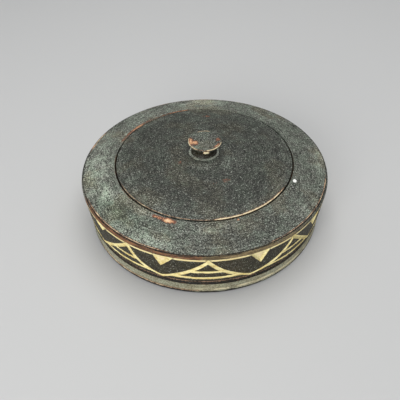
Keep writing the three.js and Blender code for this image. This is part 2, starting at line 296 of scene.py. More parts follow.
class Form:
    """Places that follow from the frame and the settings, in metres."""

    def __init__(self, settings):
        body, lid, knob, carving = settings.body, settings.lid, settings.knob, settings.carving
        self.dome_radius = body.dome_radius
        self.widest = BODY_HIGH.x
        self.widest_height = body.widest_height
        self.shoulder = self.widest - body.shoulder_inset
        self.shoulder_height = body.widest_height + body.shoulder_rise
        self.dome_top = self.shoulder_height + self.dome_drop(self.shoulder)
        self.foot = self.widest - body.wall_taper + body.foot_standout
        self.groove_top = body.foot_height + body.groove_width
        self.wall_slope = body.wall_taper / (body.widest_height - self.groove_top)
        self.lid = LID_HIGH.x
        self.lid_edge_height = self.dome_height(self.lid) + lid.proud
        self.opening = self.lid + lid.side_gap
        self.mouth_height = self.dome_height(self.opening)
        self.lid_seat = LID_LOW.z
        self.ledge_height = self.lid_seat - lid.seat_gap
        self.ledge = self.opening - body.ledge_width
        self.knob_seat = knob.foot_radius + lid.seat_margin
        self.knob_seat_height = LID_HIGH.z
        self.knob_foot_height = self.knob_seat_height + lid.seat_gap
        self.knob_rim_height = self.knob_foot_height + knob.height
        self.knob_rim = KNOB_HIGH.x
        self.tenon_bottom = KNOB_LOW.z
        self.lower_line = self.groove_top + carving.lower_line_rise + carving.lower_line_width / 2
        self.upper_line = (
            body.widest_height - carving.upper_line_drop - carving.upper_line_width / 2
        )
        self.upper_line_bottom = self.upper_line - carving.upper_line_width / 2
        self.upper_line_top = self.upper_line + carving.upper_line_width / 2
        self.apex_height = self.upper_line_bottom - carving.apex_drop
        self.valley_height = self.lower_line + carving.lower_line_width / 2 + carving.valley_rise

    def dome_drop(self, radius):
        """How far the dome lies below its middle at a radius."""
        return self.dome_radius - math.sqrt(self.dome_radius ** 2 - radius ** 2)

    def dome_height(self, radius):
        """Height of the shoulder's dome at a radius."""
        return self.dome_top - self.dome_drop(radius)

    def wall(self, height):
        """Radius of the tapered side wall at a height."""
        return self.widest - self.wall_slope * (self.widest_height - height)


class Outline:
    """An outline to be turned, drawn from point to point, with the columns round each ring."""

    def __init__(self, height, columns):
        self.rings = [(0.0, height, 1)]
        self.columns = columns

    def to(self, radius, height):
        """Adds one ring, unless the outline is already there."""
        last_radius, last_height, _ = self.rings[-1]
        if math.hypot(radius - last_radius, height - last_height) > SAME_PLACE:
            self.rings.append((radius, height, self.columns if radius > 0 else 1))
        return self

    def line(self, radius, height, step):
        """Adds evenly spaced rings on a straight line that ends at a point."""
        start_radius, start_height, _ = self.rings[-1]
        distance = math.hypot(radius - start_radius, height - start_height)
        count = max(1, round(distance / (step * MM)))
        for i in range(1, count + 1):
            share = i / count
            self.to(
                start_radius + (radius - start_radius) * share,
                start_height + (height - start_height) * share,
            )
        return self

    def arc(self, radius, height, wide, tall, from_deg, to_deg, steps):
        """Adds rings on an ellipse round a point, both ends included."""
        for i in range(steps + 1):
            angle = math.radians(from_deg + (to_deg - from_deg) * i / steps)
            self.to(radius + wide * math.cos(angle), height + tall * math.sin(angle))
        return self

    def corner(self, radius, height, size, from_deg, steps=ROUND_STEPS):
        """Adds a quarter round about a point."""
        return self.arc(radius, height, size, size, from_deg, from_deg + 90, steps)

    def dome(self, form, radius, step, lift=0.0):
        """Adds rings on the dome, from the last radius to another."""
        start = self.rings[-1][0]
        count = max(1, round(abs(radius - start) / (step * MM)))
        for i in range(1, count + 1):
            here = start + (radius - start) * i / count
            self.to(here, form.dome_height(here) + lift)
        return self

    def with_columns(self, columns):
        """Changes the columns of the rings that follow."""
        self.columns = columns
        return self


def turned_mesh(name, rings):
    """A closed mesh from rings. A ring of one column is a pole on the axis."""
    points = []
    starts = []
    for radius, height, columns in rings:
        starts.append(len(points))
        for i in range(columns):
            azimuth = math.tau * i / columns
            points.append((radius * math.sin(azimuth), -radius * math.cos(azimuth), height))
    faces = []
    for index in range(len(rings) - 1):
        faces += band_faces(starts[index], rings[index][2], starts[index + 1], rings[index + 1][2])
    mesh = bpy.data.meshes.new(name)
    mesh.from_pydata(points, [], faces)
    mesh.update()
    return mesh


def band_faces(first, first_columns, second, second_columns):
    """Faces between two rings, whose columns are alike, one, or a whole number of times more."""
    fewer = min(first_columns, second_columns)
    cells = max(first_columns, second_columns) if fewer == 1 else fewer
    faces = []
    for cell in range(cells):
        there = ring_stretch(first, first_columns, cell, cells)
        back = ring_stretch(second, second_columns, cell, cells)
        faces.append(there + back[::-1])
    return faces


def ring_stretch(start, columns, cell, cells):
    """The points of one ring along one cell."""
    if columns == 1:
        return [start]
    span = columns // cells
    return [start + (cell * span + i) % columns for i in range(span + 1)]


def new_object(mesh):
    """A linked object that holds a mesh."""
    item = bpy.data.objects.new(mesh.name, mesh)
    bpy.context.scene.collection.objects.link(item)
    return item


class Field:
    """A node's output, which adds and multiplies like a number."""

    def __init__(self, graph, socket):
        self.graph = graph
        self.socket = socket

    def __add__(self, other):
        return self.graph.math("ADD", self, other)

    def __radd__(self, other):
        return self.graph.math("ADD", other, self)

    def __sub__(self, other):
        return self.graph.math("SUBTRACT", self, other)

    def __rsub__(self, other):
        return self.graph.math("SUBTRACT", other, self)

    def __mul__(self, other):
        return self.graph.math("MULTIPLY", self, other)

    def __rmul__(self, other):
        return self.graph.math("MULTIPLY", other, self)

    def __truediv__(self, other):
        return self.graph.math("DIVIDE", self, other)

    def clamped(self):
        """Held between 0 and 1."""
        return self.graph.math("ADD", self, 0.0, clamp=True)

    def most(self, other):
        """The larger of two fields."""
        return self.graph.math("MAXIMUM", self, other)

    def least(self, other):
        """The smaller of two fields."""
        return self.graph.math("MINIMUM", self, other)

    def over(self, other):
        """1 where this field is larger, otherwise 0."""
        return self.graph.math("GREATER_THAN", self, other)

    def rise(self, low, high):
        """A smooth step from 0 at the low value to 1 at the high one."""
        node = self.graph.add(
            "ShaderNodeMapRange",
            {"Value": self, "From Min": low, "From Max": high},
            interpolation_type="SMOOTHSTEP",
        )
        return Field(self.graph, node.outputs["Result"])


class Graph:
    """Adds nodes to a tree and links them."""

    def __init__(self, tree):
        self.tree = tree

    def add(self, kind, inputs=None, **settings):
        """Adds a node with its settings and inputs, and returns it."""
        node = self.tree.nodes.new(kind)
        for name, value in settings.items():
            setattr(node, name, value)
        for key, value in (inputs or {}).items():
            self.put(node.inputs[key], value)
        return node

    def put(self, socket, value):
        """Links a field to a socket, or sets the socket's own value."""
        if isinstance(value, Field):
            self.tree.links.new(value.socket, socket)
        else:
            socket.default_value = value

    def out(self, node, name):
        """One output of a node as a field."""
        return Field(self, node.outputs[name])

    def math(self, operation, *values, clamp=False):
        """A sum, product or other working of numbers."""
        node = self.add("ShaderNodeMath", operation=operation, use_clamp=clamp)
        for socket, value in zip(node.inputs, values):
            self.put(socket, value)
        return Field(self, node.outputs[0])

    def vector(self, operation, *values):
        """A sum, product or other working of vectors."""
        node = self.add("ShaderNodeVectorMath", operation=operation)
        for socket, value in zip(node.inputs, values):
            self.put(socket, value)
        kind = "Value" if operation in ("LENGTH", "DISTANCE", "DOT_PRODUCT") else "Vector"
        return Field(self, node.outputs[kind])

    def scaled(self, vector, factor):
        """A vector times a number."""
        node = self.add(
            "ShaderNodeVectorMath", {0: vector, "Scale": factor}, operation="SCALE",
        )
        return Field(self, node.outputs["Vector"])

    def parts(self, vector):
        """X, Y and Z of a vector."""
        node = self.add("ShaderNodeSeparateXYZ", {0: vector})
        return [Field(self, socket) for socket in node.outputs]

    def combined(self, x, y, z):
        """A vector from three numbers."""
        return Field(self, self.add("ShaderNodeCombineXYZ", {0: x, 1: y, 2: z}).outputs[0])

    def noise(self, vector, feature, detail=2.0, roughness=0.5, output="Fac"):
        """Noise whose features are about so many millimetres wide."""
        node = self.add(
            "ShaderNodeTexNoise",
            {"Vector": vector, "Scale": 1 / (feature * MM), "Detail": detail,
             "Roughness": roughness},
        )
        return self.out(node, output)

    def mix(self, factor, first, second, blend="MIX"):
        """A colour between two colours, or the first one tinted by the second."""
        node = self.add("ShaderNodeMix", data_type="RGBA", blend_type=blend)
        colour_a, colour_b, result = MIX_COLOUR_SOCKETS
        self.put(node.inputs[0], factor)
        self.put(node.inputs[colour_a], first if isinstance(first, Field) else (*first, 1))
        self.put(node.inputs[colour_b], second if isinstance(second, Field) else (*second, 1))
        return Field(self, node.outputs[result])


def new_tree(name, numbers, objects=()):
    """An empty geometry tree with a geometry, some numbers and some objects as its inputs."""
    tree = bpy.data.node_groups.new(name, "GeometryNodeTree")
    tree.interface.new_socket("Geometry", in_out="INPUT", socket_type="NodeSocketGeometry")
    for label in objects:
        tree.interface.new_socket(label, in_out="INPUT", socket_type="NodeSocketObject")
    for label in numbers:
        tree.interface.new_socket(label, in_out="INPUT", socket_type="NodeSocketFloat")
    tree.interface.new_socket("Material", in_out="INPUT", socket_type="NodeSocketMaterial")
    tree.interface.new_socket("Geometry", in_out="OUTPUT", socket_type="NodeSocketGeometry")
    graph = Graph(tree)
    return graph, graph.add("NodeGroupInput")


def close_tree(graph, inputs, geometry):
    """Ends a geometry tree in real geometry with its material."""
    real = graph.add("GeometryNodeRealizeInstances", {"Geometry": geometry})
    dressed = graph.add(
        "GeometryNodeSetMaterial",
        {"Geometry": graph.out(real, "Geometry"), "Material": graph.out(inputs, "Material")},
    )
    graph.add("NodeGroupOutput", {0: graph.out(dressed, "Geometry")})


def use_tree(item, tree, values):
    """Puts a geometry tree on an object, with its inputs set by the names of its sockets."""
    modifier = item.modifiers.new(tree.name, "NODES")
    modifier.node_group = tree
    for socket in tree.interface.items_tree:
        if socket.in_out == "INPUT" and socket.name in values:
            modifier[socket.identifier] = values[socket.name]


def made_plain(item):
    """Turns an object's evaluated shape into its own plain mesh."""
    depsgraph = bpy.context.evaluated_depsgraph_get()
    mesh = bpy.data.meshes.new_from_object(
        item.evaluated_get(depsgraph), preserve_all_data_layers=True, depsgraph=depsgraph,
    )
    item.modifiers.clear()
    item.data = mesh
    mesh.name = item.name


def nearest(graph, plan, place, element):
    """The spot on a plan's edges or faces that lies nearest to a place, and how far off it is."""
    node = graph.add(
        "GeometryNodeProximity", {0: plan, "Sample Position": place}, target_element=element,
    )
    return graph.out(node, "Position"), graph.out(node, "Distance")


def flat_stroke(graph, plan, place, width):
    """How deep inside a line's width a place lies, and the way out to its edge."""
    middle, distance = nearest(graph, plan, place, "EDGES")
    away = graph.vector("NORMALIZE", graph.vector("SUBTRACT", place, middle))
    return width / 2 - distance, away


def flat_triangle(graph, plan, place):
    """How deep inside a triangle a place lies, and the way out to its edge."""
    edge, to_edge = nearest(graph, plan, place, "EDGES")
    _, to_face = nearest(graph, plan, place, "FACES")
    sign = 1 - 2 * to_face.over(SAME_PLACE)
    toward = graph.vector("NORMALIZE", graph.vector("SUBTRACT", edge, place))
    return to_edge * sign, graph.scaled(toward, sign)


def plan_geometry(graph, inputs, name):
    """The shape of a plan object that a tree is given."""
    node = graph.add("GeometryNodeObjectInfo", {"Object": graph.out(inputs, name)})
    return graph.out(node, "Geometry")


# How the carver works: millimetres over which the hand strays one way, the width of a stroke at
# its foot for its full width, and how much wider a triangle's sloping side is than a stroke's
HAND_FEATURE = 11
FOOT_SHARE = 0.6
TRIANGLE_SLOPE = 1.4

WALL_DEPTHS = 2  # what lies this many triangle depths under the wall is no part of it
FAR_FROM_CUTS = 3  # millimetres outside a cut, stored where the surface isn't carved
SNAP_SHARE = 0.45  # how near to a cut's edge a point is moved onto it, for the band's step

CARVING_NUMBERS = (
    "Widest Radius", "Widest Height", "Wall Slope", "Band Bottom", "Band Top",
    "Stroke Width", "Stroke Taper", "Valley", "Bar Width", "Cut Depth", "Cut Slope",
    "Triangle Depth", "Unsteady", "Snap",
)


def hand_drawn(graph, position, flat, unsteady):
    """A place in the flat plan, moved as the carver's hand strays."""
    stray = graph.noise(position, HAND_FEATURE, output="Color")
    stray = graph.vector("SUBTRACT", stray, (0.5, 0.5, 0.5))
    hand = graph.vector("ADD", flat, graph.scaled(stray, unsteady * 2))
    return graph.vector("MULTIPLY", hand, (1, 1, 0))


def deeper(graph, first, second):
    """Of two cuts, the depth inside and the way out of the one that a place lies deeper in."""
    first_in, first_away = first
    second_in, second_away = second
    first_wins = first_in.over(second_in)
    away = graph.vector(
        "ADD", graph.scaled(first_away, first_wins), graph.scaled(second_away, 1 - first_wins),
    )
    return first_in.most(second_in), away


def carving_tree():
    """Cuts the planned strokes, bars and triangles into the wall of a turned body.

    The plan lies flat: X is the way round the widest place and Y is the height. Points of the
    wall that lie close to the edge of a cut are moved onto it, so that the edges are crisp.
    """
    plans = ("Strokes", "Bars", "Triangles")
    graph, inputs = new_tree("Carved Band", CARVING_NUMBERS, plans)
    value = {label: graph.out(inputs, label) for label in CARVING_NUMBERS}
    strokes, bars, triangles = (plan_geometry(graph, inputs, label) for label in plans)

    position = graph.out(graph.add("GeometryNodeInputPosition"), "Position")
    x, y, z = graph.parts(position)
    azimuth = graph.math("ARCTAN2", x, 0 - y)
    radius = graph.math("SQRT", x * x + y * y)
    wall = value["Widest Radius"] - value["Wall Slope"] * (value["Widest Height"] - z)
    flat = graph.combined(azimuth * value["Widest Radius"], z, 0.0)
    drawn = hand_drawn(graph, position, flat, value["Unsteady"])

    foot_to_full = ((z - value["Valley"]) / value["Stroke Taper"]).clamped()
    width = value["Stroke Width"] * (FOOT_SHARE + (1 - FOOT_SHARE) * foot_to_full)
    stroke = flat_stroke(graph, strokes, drawn, width)
    bar = flat_stroke(graph, bars, drawn, value["Bar Width"])
    line_in, line_away = deeper(graph, stroke, bar)
    triangle_in, triangle_away = flat_triangle(graph, triangles, drawn)
    inside, away = deeper(graph, (triangle_in, triangle_away), (line_in, line_away))

    in_band = z.over(value["Band Bottom"]) * value["Band Top"].over(z)
    on_wall = in_band * radius.over(wall - value["Triangle Depth"] * WALL_DEPTHS)
    close = value["Snap"].over(graph.math("ABSOLUTE", inside)) * on_wall
    step_x, step_y, _ = graph.parts(graph.scaled(away, inside * close))

    slope = value["Cut Slope"]
    line_depth = (line_in / slope).clamped() * value["Cut Depth"]
    triangle_depth = (triangle_in / (slope * TRIANGLE_SLOPE)).clamped() * value["Triangle Depth"]
    depth = line_depth.most(triangle_depth) * (1 - close)
    new_azimuth = azimuth + step_x / value["Widest Radius"]
    cut_radius = radius.least(wall + value["Wall Slope"] * step_y - depth)
    place = graph.combined(
        cut_radius * graph.math("SINE", new_azimuth),
        0 - cut_radius * graph.math("COSINE", new_azimuth),
        z + step_y,
    )
    shown = inside * (1 - close) / MM
    stored = graph.add(
        "GeometryNodeStoreNamedAttribute",
        {"Geometry": graph.out(inputs, "Geometry"), "Name": "cut",
         "Value": (shown + FAR_FROM_CUTS) * on_wall - FAR_FROM_CUTS},
        data_type="FLOAT", domain="POINT",
    )
    moved = graph.add(
        "GeometryNodeSetPosition",
        {"Geometry": graph.out(stored, "Geometry"), "Selection": on_wall, "Position": place},
    )
    close_tree(graph, inputs, graph.out(moved, "Geometry"))
    return graph.tree


def use_carving(item, settings, form, plans, material):
    """Carves the planned band into the body."""
    carving = settings.carving
    use_tree(item, carving_tree(), {
        **plans,
        "Widest Radius": form.widest,
        "Widest Height": form.widest_height,
        "Wall Slope": form.wall_slope,
        "Band Bottom": form.groove_top,
        "Band Top": form.widest_height,
        "Stroke Width": carving.stroke_width,
        "Stroke Taper": carving.stroke_taper,
        "Valley": form.valley_height,
        "Bar Width": carving.bar_width,
        "Cut Depth": carving.cut_depth,
        "Cut Slope": carving.cut_slope,
        "Triangle Depth": carving.triangle_depth,
        "Unsteady": carving.unsteady,
        "Snap": BAND_STEP * MM * SNAP_SHARE,
        "Material": material,
    })


UNEVEN_NUMBERS = ("Depth", "Feature", "Fine Depth", "Fine Feature", "Seed", "Seat", "Fade")

# How uneven a hand-worn piece is: depth and width of its broad and of its fine hollows in
# millimetres, and the noise's seed
Unevenness = namedtuple("Unevenness", "depth feature fine_depth fine_feature seed")
BODY_UNEVENNESS = Unevenness(0.4, 26, 0.12, 3.5, 3.0)
LID_UNEVENNESS = Unevenness(0.3, 30, 0.08, 3, 7.0)
SEAT_FADE = 3  # millimetres over a piece's seat in which it turns uneven


def knob_unevenness(knob):
    """How uneven the knob is. Its broad hollows are what makes the rim wobble."""
    return Unevenness(knob.rim_wobble / MM, 9, 0.12, 1.5, 5.0)


def uneven_tree():
    """Sinks a surface a little here and there, but not where it is seated, and nowhere lifts it."""
    graph, inputs = new_tree("Hand Worn", UNEVEN_NUMBERS)
    value = {label: graph.out(inputs, label) for label in UNEVEN_NUMBERS}
    position = graph.out(graph.add("GeometryNodeInputPosition"), "Position")
    normal = graph.out(graph.add("GeometryNodeInputNormal"), "Normal")
    sunk = 0
    for depth, feature in (("Depth", "Feature"), ("Fine Depth", "Fine Feature")):
        scale = graph.math("DIVIDE", 1.0, value[feature])
        noise = graph.add(
            "ShaderNodeTexNoise", {"Vector": position, "W": value["Seed"], "Scale": scale},
            noise_dimensions="4D",
        )
        sunk = graph.out(noise, "Fac") * value[depth] + sunk
    height = graph.parts(position)[2]
    sunk = sunk * ((height - value["Seat"]) / value["Fade"]).clamped()
    moved = graph.add(
        "GeometryNodeSetPosition",
        {"Geometry": graph.out(inputs, "Geometry"),
         "Offset": graph.scaled(normal, 0 - sunk)},
    )
    close_tree(graph, inputs, graph.out(moved, "Geometry"))
    return graph.tree


def use_unevenness(item, uneven, seat, fade, material):
    """Makes a piece uneven from its seat up."""
    tree = bpy.data.node_groups.get("Hand Worn") or uneven_tree()
    use_tree(item, tree, {
        "Depth": uneven.depth * MM,
        "Feature": uneven.feature * MM,
        "Fine Depth": uneven.fine_depth * MM,
        "Fine Feature": uneven.fine_feature * MM,
        "Seed": uneven.seed,
        "Seat": seat,
        "Fade": fade,
        "Material": material,
    })


def picked(values, carving, index):
    """What a list holds for a chevron. The list starts again where it runs out."""
    return values[index % carving.chevrons % len(values)]


def way_round(carving, form, wander, index, offset):
    """Way round the widest place to one of the evenly spaced places, with the hand's wander."""
    turn = carving.first_chevron + math.tau / carving.chevrons * (index + offset)
    return form.widest * (turn + math.radians(picked(wander, carving, index)))


def leg(apex, valley, hang):
    """A leg from its apex to a valley, drawn in towards the place straight below the apex."""
    below = Vector((apex.x, valley.y))
    pull = apex.lerp(valley, 0.5).lerp(below, hang)
    return [bezier((apex, pull, valley), i / LEG_STEPS) for i in range(LEG_STEPS + 1)]


def chevron_legs(carving, form, index):
    """The left and the right leg of one chevron in the flat plan."""
    lift = picked(APEX_LIFT_MM, carving, index) * MM
    apex = Vector((
        way_round(carving, form, APEX_WANDER_DEG, index, 0), form.apex_height + lift,
    ))
    left_hang, right_hang = picked(LEG_HANGS, carving, index)
    left = way_round(carving, form, VALLEY_WANDER_DEG, index - 1, 0.5)
    right = way_round(carving, form, VALLEY_WANDER_DEG, index, 0.5)
    return (
        leg(apex, Vector((left, form.valley_height)), left_hang),
        leg(apex, Vector((right, form.valley_height)), right_hang),
    )


def at_height(line, height):
    """Where a line that falls from point to point passes a height."""
    for upper, lower in zip(line, line[1:]):
        if lower.y <= height:
            return upper.lerp(lower, (upper.y - height) / (upper.y - lower.y))
    return line[-1]


def cross_bar(legs, height, sag):
    """A bar from leg to leg, which hangs a little in its middle."""
    left, right = (at_height(line, height) for line in legs)
    low = left.lerp(right, 0.5) - Vector((0, 2 * sag))
    return [bezier((left, low, right), i / BAR_STEPS) for i in range(BAR_STEPS + 1)]


def hanging_triangle(carving, form, index):
    """Corners of the triangle that hangs from the upper line to the right of a chevron."""
    middle = way_round(carving, form, TRIANGLE_WANDER_DEG, index, 0.5)
    half = carving.triangle_width / 2
    lean = picked(TRIANGLE_LEAN_MM, carving, index) * MM
    drop = carving.triangle_drop * picked(TRIANGLE_REACH, carving, index)
    return (
        Vector((middle - half, form.upper_line)),
        Vector((middle + lean, form.upper_line_bottom - drop)),
        Vector((middle + half, form.upper_line)),
    )


def plan_object(name, lines=(), triangles=()):
    """Lines and triangles in the flat plan, as an object that a geometry tree can read."""
    points = []
    edges = []
    faces = []
    for line in lines:
        start = len(points)
        points += [(place.x, place.y, 0) for place in line]
        edges += [(i, i + 1) for i in range(start, len(points) - 1)]
    for corners in triangles:
        faces.append(tuple(range(len(points), len(points) + 3)))
        points += [(place.x, place.y, 0) for place in corners]
    mesh = bpy.data.meshes.new(name)
    mesh.from_pydata(points, edges, faces)
    mesh.update()
    return new_object(mesh)


def carving_plans(settings, form):
    """The strokes, the cross bars and the hanging triangles, laid out flat, past once round."""
    carving = settings.carving
    strokes = []
    bars = []
    triangles = []
    half = carving.chevrons // 2 + 1
    for index in range(-half, half + 1):
        legs = chevron_legs(carving, form, index)
        strokes += legs
        for rise in (carving.upper_bar_rise, carving.lower_bar_rise):
            bars.append(cross_bar(legs, form.valley_height + rise, carving.bar_sag))
        triangles.append(hanging_triangle(carving, form, index))
    return {
        "Strokes": plan_object("strokes_plan", lines=strokes),
        "Bars": plan_object("bars_plan", lines=bars),
        "Triangles": plan_object("triangles_plan", triangles=triangles),
    }


# Shares of a flat face's radius, from its middle out, at which its rings get more columns
UNDERSIDE_SHARES = (0.4, 0.9, 0.98)
FLOOR_SHARE = 0.5
LID_SHARE = 0.5

GROOVE_SLOPE = 0.25  # width of the foot groove's sloping sides, for its whole width
LINE_SLOPE = 0.6  # width of a turned line's sloping sides, for a carved cut's

# The shoulder's edge bends round so far, and then has a scratched groove whose floor and lips lie
# so far out and down from the edge, for the groove's width
EDGE_BEND_DEG = 52
EDGE_GROOVE_SHAPE = ((1.1, 1.2), (0.7, 0.1), (0, 0))

# The curve of the knob's side is pulled in at the neck, and out and up over it, in millimetres
NECK_PULL = 1.2
FLARE_PULL_OUT = 0.4
FLARE_PULL_UP = 2.4
TOP_DIP_SHARE = 5 / 7  # share of the knob's top, from the rim in, that dips

# Where the turner left the knob's rim thick: from and to in degrees, how soft its ends are, how
# far inside the rim it stays in millimetres, and the share of its drop at which it is full
LUG_STRETCH = (-5, 21)
LUG_SOFT_DEG = 4
LUG_INSET = 0.2
LUG_FULL_SHARE = 0.7

WORN_LEAST_AZIMUTH = 110  # the side of the knob's rim that fingers have worn the least
SHARP_EDGE_DEG = 38


def turned_line(outline, form, middle, width, depth, slope):
    """A line turned into the wall."""
    for offset, sunk in ((-width / 2, 0), (slope - width / 2, depth), (width / 2 - slope, depth)):
        outline.to(form.wall(middle + offset) - sunk, middle + offset)
    outline.to(form.wall(middle + width / 2), middle + width / 2)


def body_rings(settings, form):
    """Outline of the body, from the middle of its underside round to the middle of its floor."""
    outline = Outline(0.0, CENTRE_COLUMNS)
    foot_rings(outline, settings.body, form)
    band_rings(outline, settings.carving, form)
    shoulder_rings(outline, settings.body, form)
    inside_rings(outline, settings.body, form)
    return outline.rings


def foot_rings(outline, body, form):
    """The flat underside, the foot and the groove over it."""
    rest = form.foot - body.rest_inset
    foot_top = form.foot - body.foot_neck_inset
    floor = form.wall(form.groove_top) - body.groove_depth
    slope = body.groove_width * GROOVE_SLOPE
    centre, inside, edge = (rest * share for share in UNDERSIDE_SHARES)
    outline.line(centre, 0.0, INSIDE_STEP * 2)
    outline.with_columns(INSIDE_COLUMNS).line(inside, 0.0, INSIDE_STEP)
    outline.with_columns(TOP_COLUMNS).to(edge, 0.0)
    outline.arc(
        rest, body.foot_widest_height, body.rest_inset, body.foot_widest_height,
        -90, 0, BEND_STEPS,
    )
    outline.line(foot_top, body.foot_height - slope, FOOT_STEP)
    outline.to(foot_top - slope, body.foot_height)
    outline.to(floor, body.foot_height + slope)
    outline.to(floor, form.groove_top - slope)
    outline.to(form.wall(form.groove_top), form.groove_top)


def band_rings(outline, carving, form):
    """The wall that is carved, with a turned line under it and one over it."""
    depth, slope = carving.line_depth, carving.cut_slope * LINE_SLOPE
    outline.with_columns(BAND_COLUMNS)
    turned_line(outline, form, form.lower_line, carving.lower_line_width, depth, slope)
    outline.line(form.wall(form.upper_line_bottom), form.upper_line_bottom, BAND_STEP)
    turned_line(outline, form, form.upper_line, carving.upper_line_width, depth, slope)


def shoulder_rings(outline, body, form):
    """The shoulder's rounded edge and its scratched groove, its dome and the opening's wall."""
    outline.with_columns(TOP_COLUMNS).arc(
        form.shoulder, body.widest_height, body.shoulder_inset, body.shoulder_rise,
        0, EDGE_BEND_DEG, BEND_STEPS,
    )
    groove, rounding = body.edge_groove, body.mouth_round
    for out, down in EDGE_GROOVE_SHAPE:
        outline.to(form.shoulder + groove * out, form.shoulder_height - groove * down)
    outline.dome(form, form.opening + rounding, TOP_STEP)
    outline.corner(form.opening + rounding, form.mouth_height - rounding, rounding, 90)
    outline.line(form.opening, form.ledge_height, SIDE_STEP)


def inside_rings(outline, body, form):
    """The ledge, the hollow that widens under it, and the floor."""
    hollow = form.widest - body.wall_thickness
    hollow_top = form.ledge_height - body.ledge_thickness
    outline.with_columns(INSIDE_COLUMNS).line(form.ledge, form.ledge_height, LEDGE_STEP)
    outline.line(form.ledge, hollow_top + body.mouth_round, LEDGE_STEP)
    outline.arc(
        form.ledge, hollow_top - body.hollow_shoulder, hollow - form.ledge, body.hollow_shoulder,
        90, 0, HOLLOW_STEPS,
    )
    outline.arc(
        hollow - body.floor_corner, body.floor_thickness + body.floor_corner,
        body.floor_corner, body.floor_corner, 0, -90, HOLLOW_STEPS,
    )
    outline.line(hollow * FLOOR_SHARE, body.floor_thickness, INSIDE_STEP)
    outline.with_columns(CENTRE_COLUMNS).line(0.0, body.floor_thickness, INSIDE_STEP * 2)


def lid_rings(settings, form):
    """Outline of the lid: hollow underside, seat ring, edge, dome and the hole for the tenon."""
    lid, knob = settings.lid, settings.knob
    rounding = lid.edge_round
    hollow = form.lid_seat + lid.hollow_depth
    ring = form.lid - lid.ring_width
    hole = knob.tenon_radius + lid.tenon_gap
    hole_bottom = form.tenon_bottom - lid.tenon_gap
    upper = form.lid_edge_height - rounding
    outline = Outline(hollow, CENTRE_COLUMNS)
    outline.line((ring - lid.hollow_slope) * LID_SHARE, hollow, INSIDE_STEP)
    outline.with_columns(INSIDE_COLUMNS).line(ring - lid.hollow_slope, hollow, INSIDE_STEP)
    outline.line(ring, form.lid_seat, RING_STEP)
    outline.line(form.lid - rounding, form.lid_seat, LEDGE_STEP)
    outline.with_columns(TOP_COLUMNS)
    outline.corner(form.lid - rounding, form.lid_seat + rounding, rounding, -90)
    outline.line(form.lid, upper, RING_STEP)
    outline.corner(form.lid - rounding, upper, rounding, 0, EDGE_STEPS)
    outline.dome(form, form.lid * LID_SHARE, TOP_STEP, lid.proud)
    outline.with_columns(INSIDE_COLUMNS).dome(form, form.knob_seat, TOP_STEP, lid.proud)
    outline.with_columns(CENTRE_COLUMNS).line(hole, form.knob_seat_height, SIDE_STEP)
    outline.line(hole, hole_bottom, SIDE_STEP)
    outline.line(0.0, hole_bottom, HOLE_STEP)
    return outline.rings


def knob_rings(settings, form):
    """Outline of the knob: tenon, foot, drawn-in side, rim and worn top."""
    knob = settings.knob
    rounding = knob.edge_round
    foot, rim = form.knob_foot_height, form.knob_rim_height
    outline = Outline(form.tenon_bottom, KNOB_COLUMNS)
    outline.line(knob.tenon_radius - rounding, form.tenon_bottom, SIDE_STEP)
    outline.corner(
        knob.tenon_radius - rounding, form.tenon_bottom + rounding, rounding, -90, TENON_STEPS,
    )
    outline.line(knob.tenon_radius, foot, SIDE_STEP)
    outline.line(knob.foot_radius - rounding, foot, SIDE_STEP)
    outline.corner(knob.foot_radius - rounding, foot + rounding, rounding, -90)
    side = knob_side(knob, form)
    for i in range(1, SIDE_STEPS + 1):
        outline.to(*bezier(side, i / SIDE_STEPS))
    outline.line(form.knob_rim, rim - rounding, KNOB_STEP)
    outline.corner(form.knob_rim - rounding, rim - rounding, rounding, 0)
    count = round(form.knob_rim / (KNOB_STEP * MM))
    for i in range(1, count + 1):
        share = i / count
        dip = knob.top_sag * math.sin(math.pi * min(share / TOP_DIP_SHARE, 1))
        outline.to((form.knob_rim - rounding) * (1 - share), rim - dip)
    return outline.rings


def knob_side(knob, form):
    """The four points whose curve is the knob's side, from its foot to its rim."""
    foot = form.knob_foot_height
    neck = foot + knob.neck_rise
    return (
        Vector((knob.foot_radius, foot + knob.edge_round)),
        Vector((knob.neck_radius - NECK_PULL * MM, neck)),
        Vector((knob.neck_radius + FLARE_PULL_OUT * MM, neck + FLARE_PULL_UP * MM)),
        Vector((form.knob_rim, form.knob_rim_height - knob.rim_thickness)),
    )


def thicken(mesh, knob, form):
    """Fills out the underside of the knob's rim where the turner left a lug."""
    azimuth, radius, height = turned_places(mesh)
    rim = form.knob_rim / MM - LUG_INSET
    bottom, drop = (form.knob_rim_height - knob.rim_thickness) / MM, knob.lug / MM
    filled = stretch_window(azimuth, *LUG_STRETCH, LUG_SOFT_DEG) * (height < bottom)
    filled = filled * smooth(height, bottom - drop, bottom - drop * LUG_FULL_SHARE)
    move_out(mesh, azimuth, np.maximum(rim - radius, 0) * filled)


def draw_in(mesh, knob, form):
    """Draws the knob's rim in on the side that fingers have worn the most."""
    azimuth, radius, height = turned_places(mesh)
    neck = (form.knob_foot_height + knob.neck_rise) / MM
    above = smooth(height, neck, form.knob_rim_height / MM)
    worn = (1 - np.cos(np.radians(azimuth - WORN_LEAST_AZIMUTH))) / 2
    shift = (knob.worn_in + knob.spread) * worn - knob.spread
    move_out(mesh, azimuth, -shift / MM * above * radius / (form.knob_rim / MM))


def points_of(mesh):
    """The places of a mesh's points, one row for each."""
    places = np.empty(len(mesh.vertices) * 3)
    mesh.vertices.foreach_get("co", places)
    return places.reshape(-1, 3)


def put_points(mesh, places):
    """Puts a mesh's points in other places."""
    mesh.vertices.foreach_set("co", places.ravel())
    mesh.update()


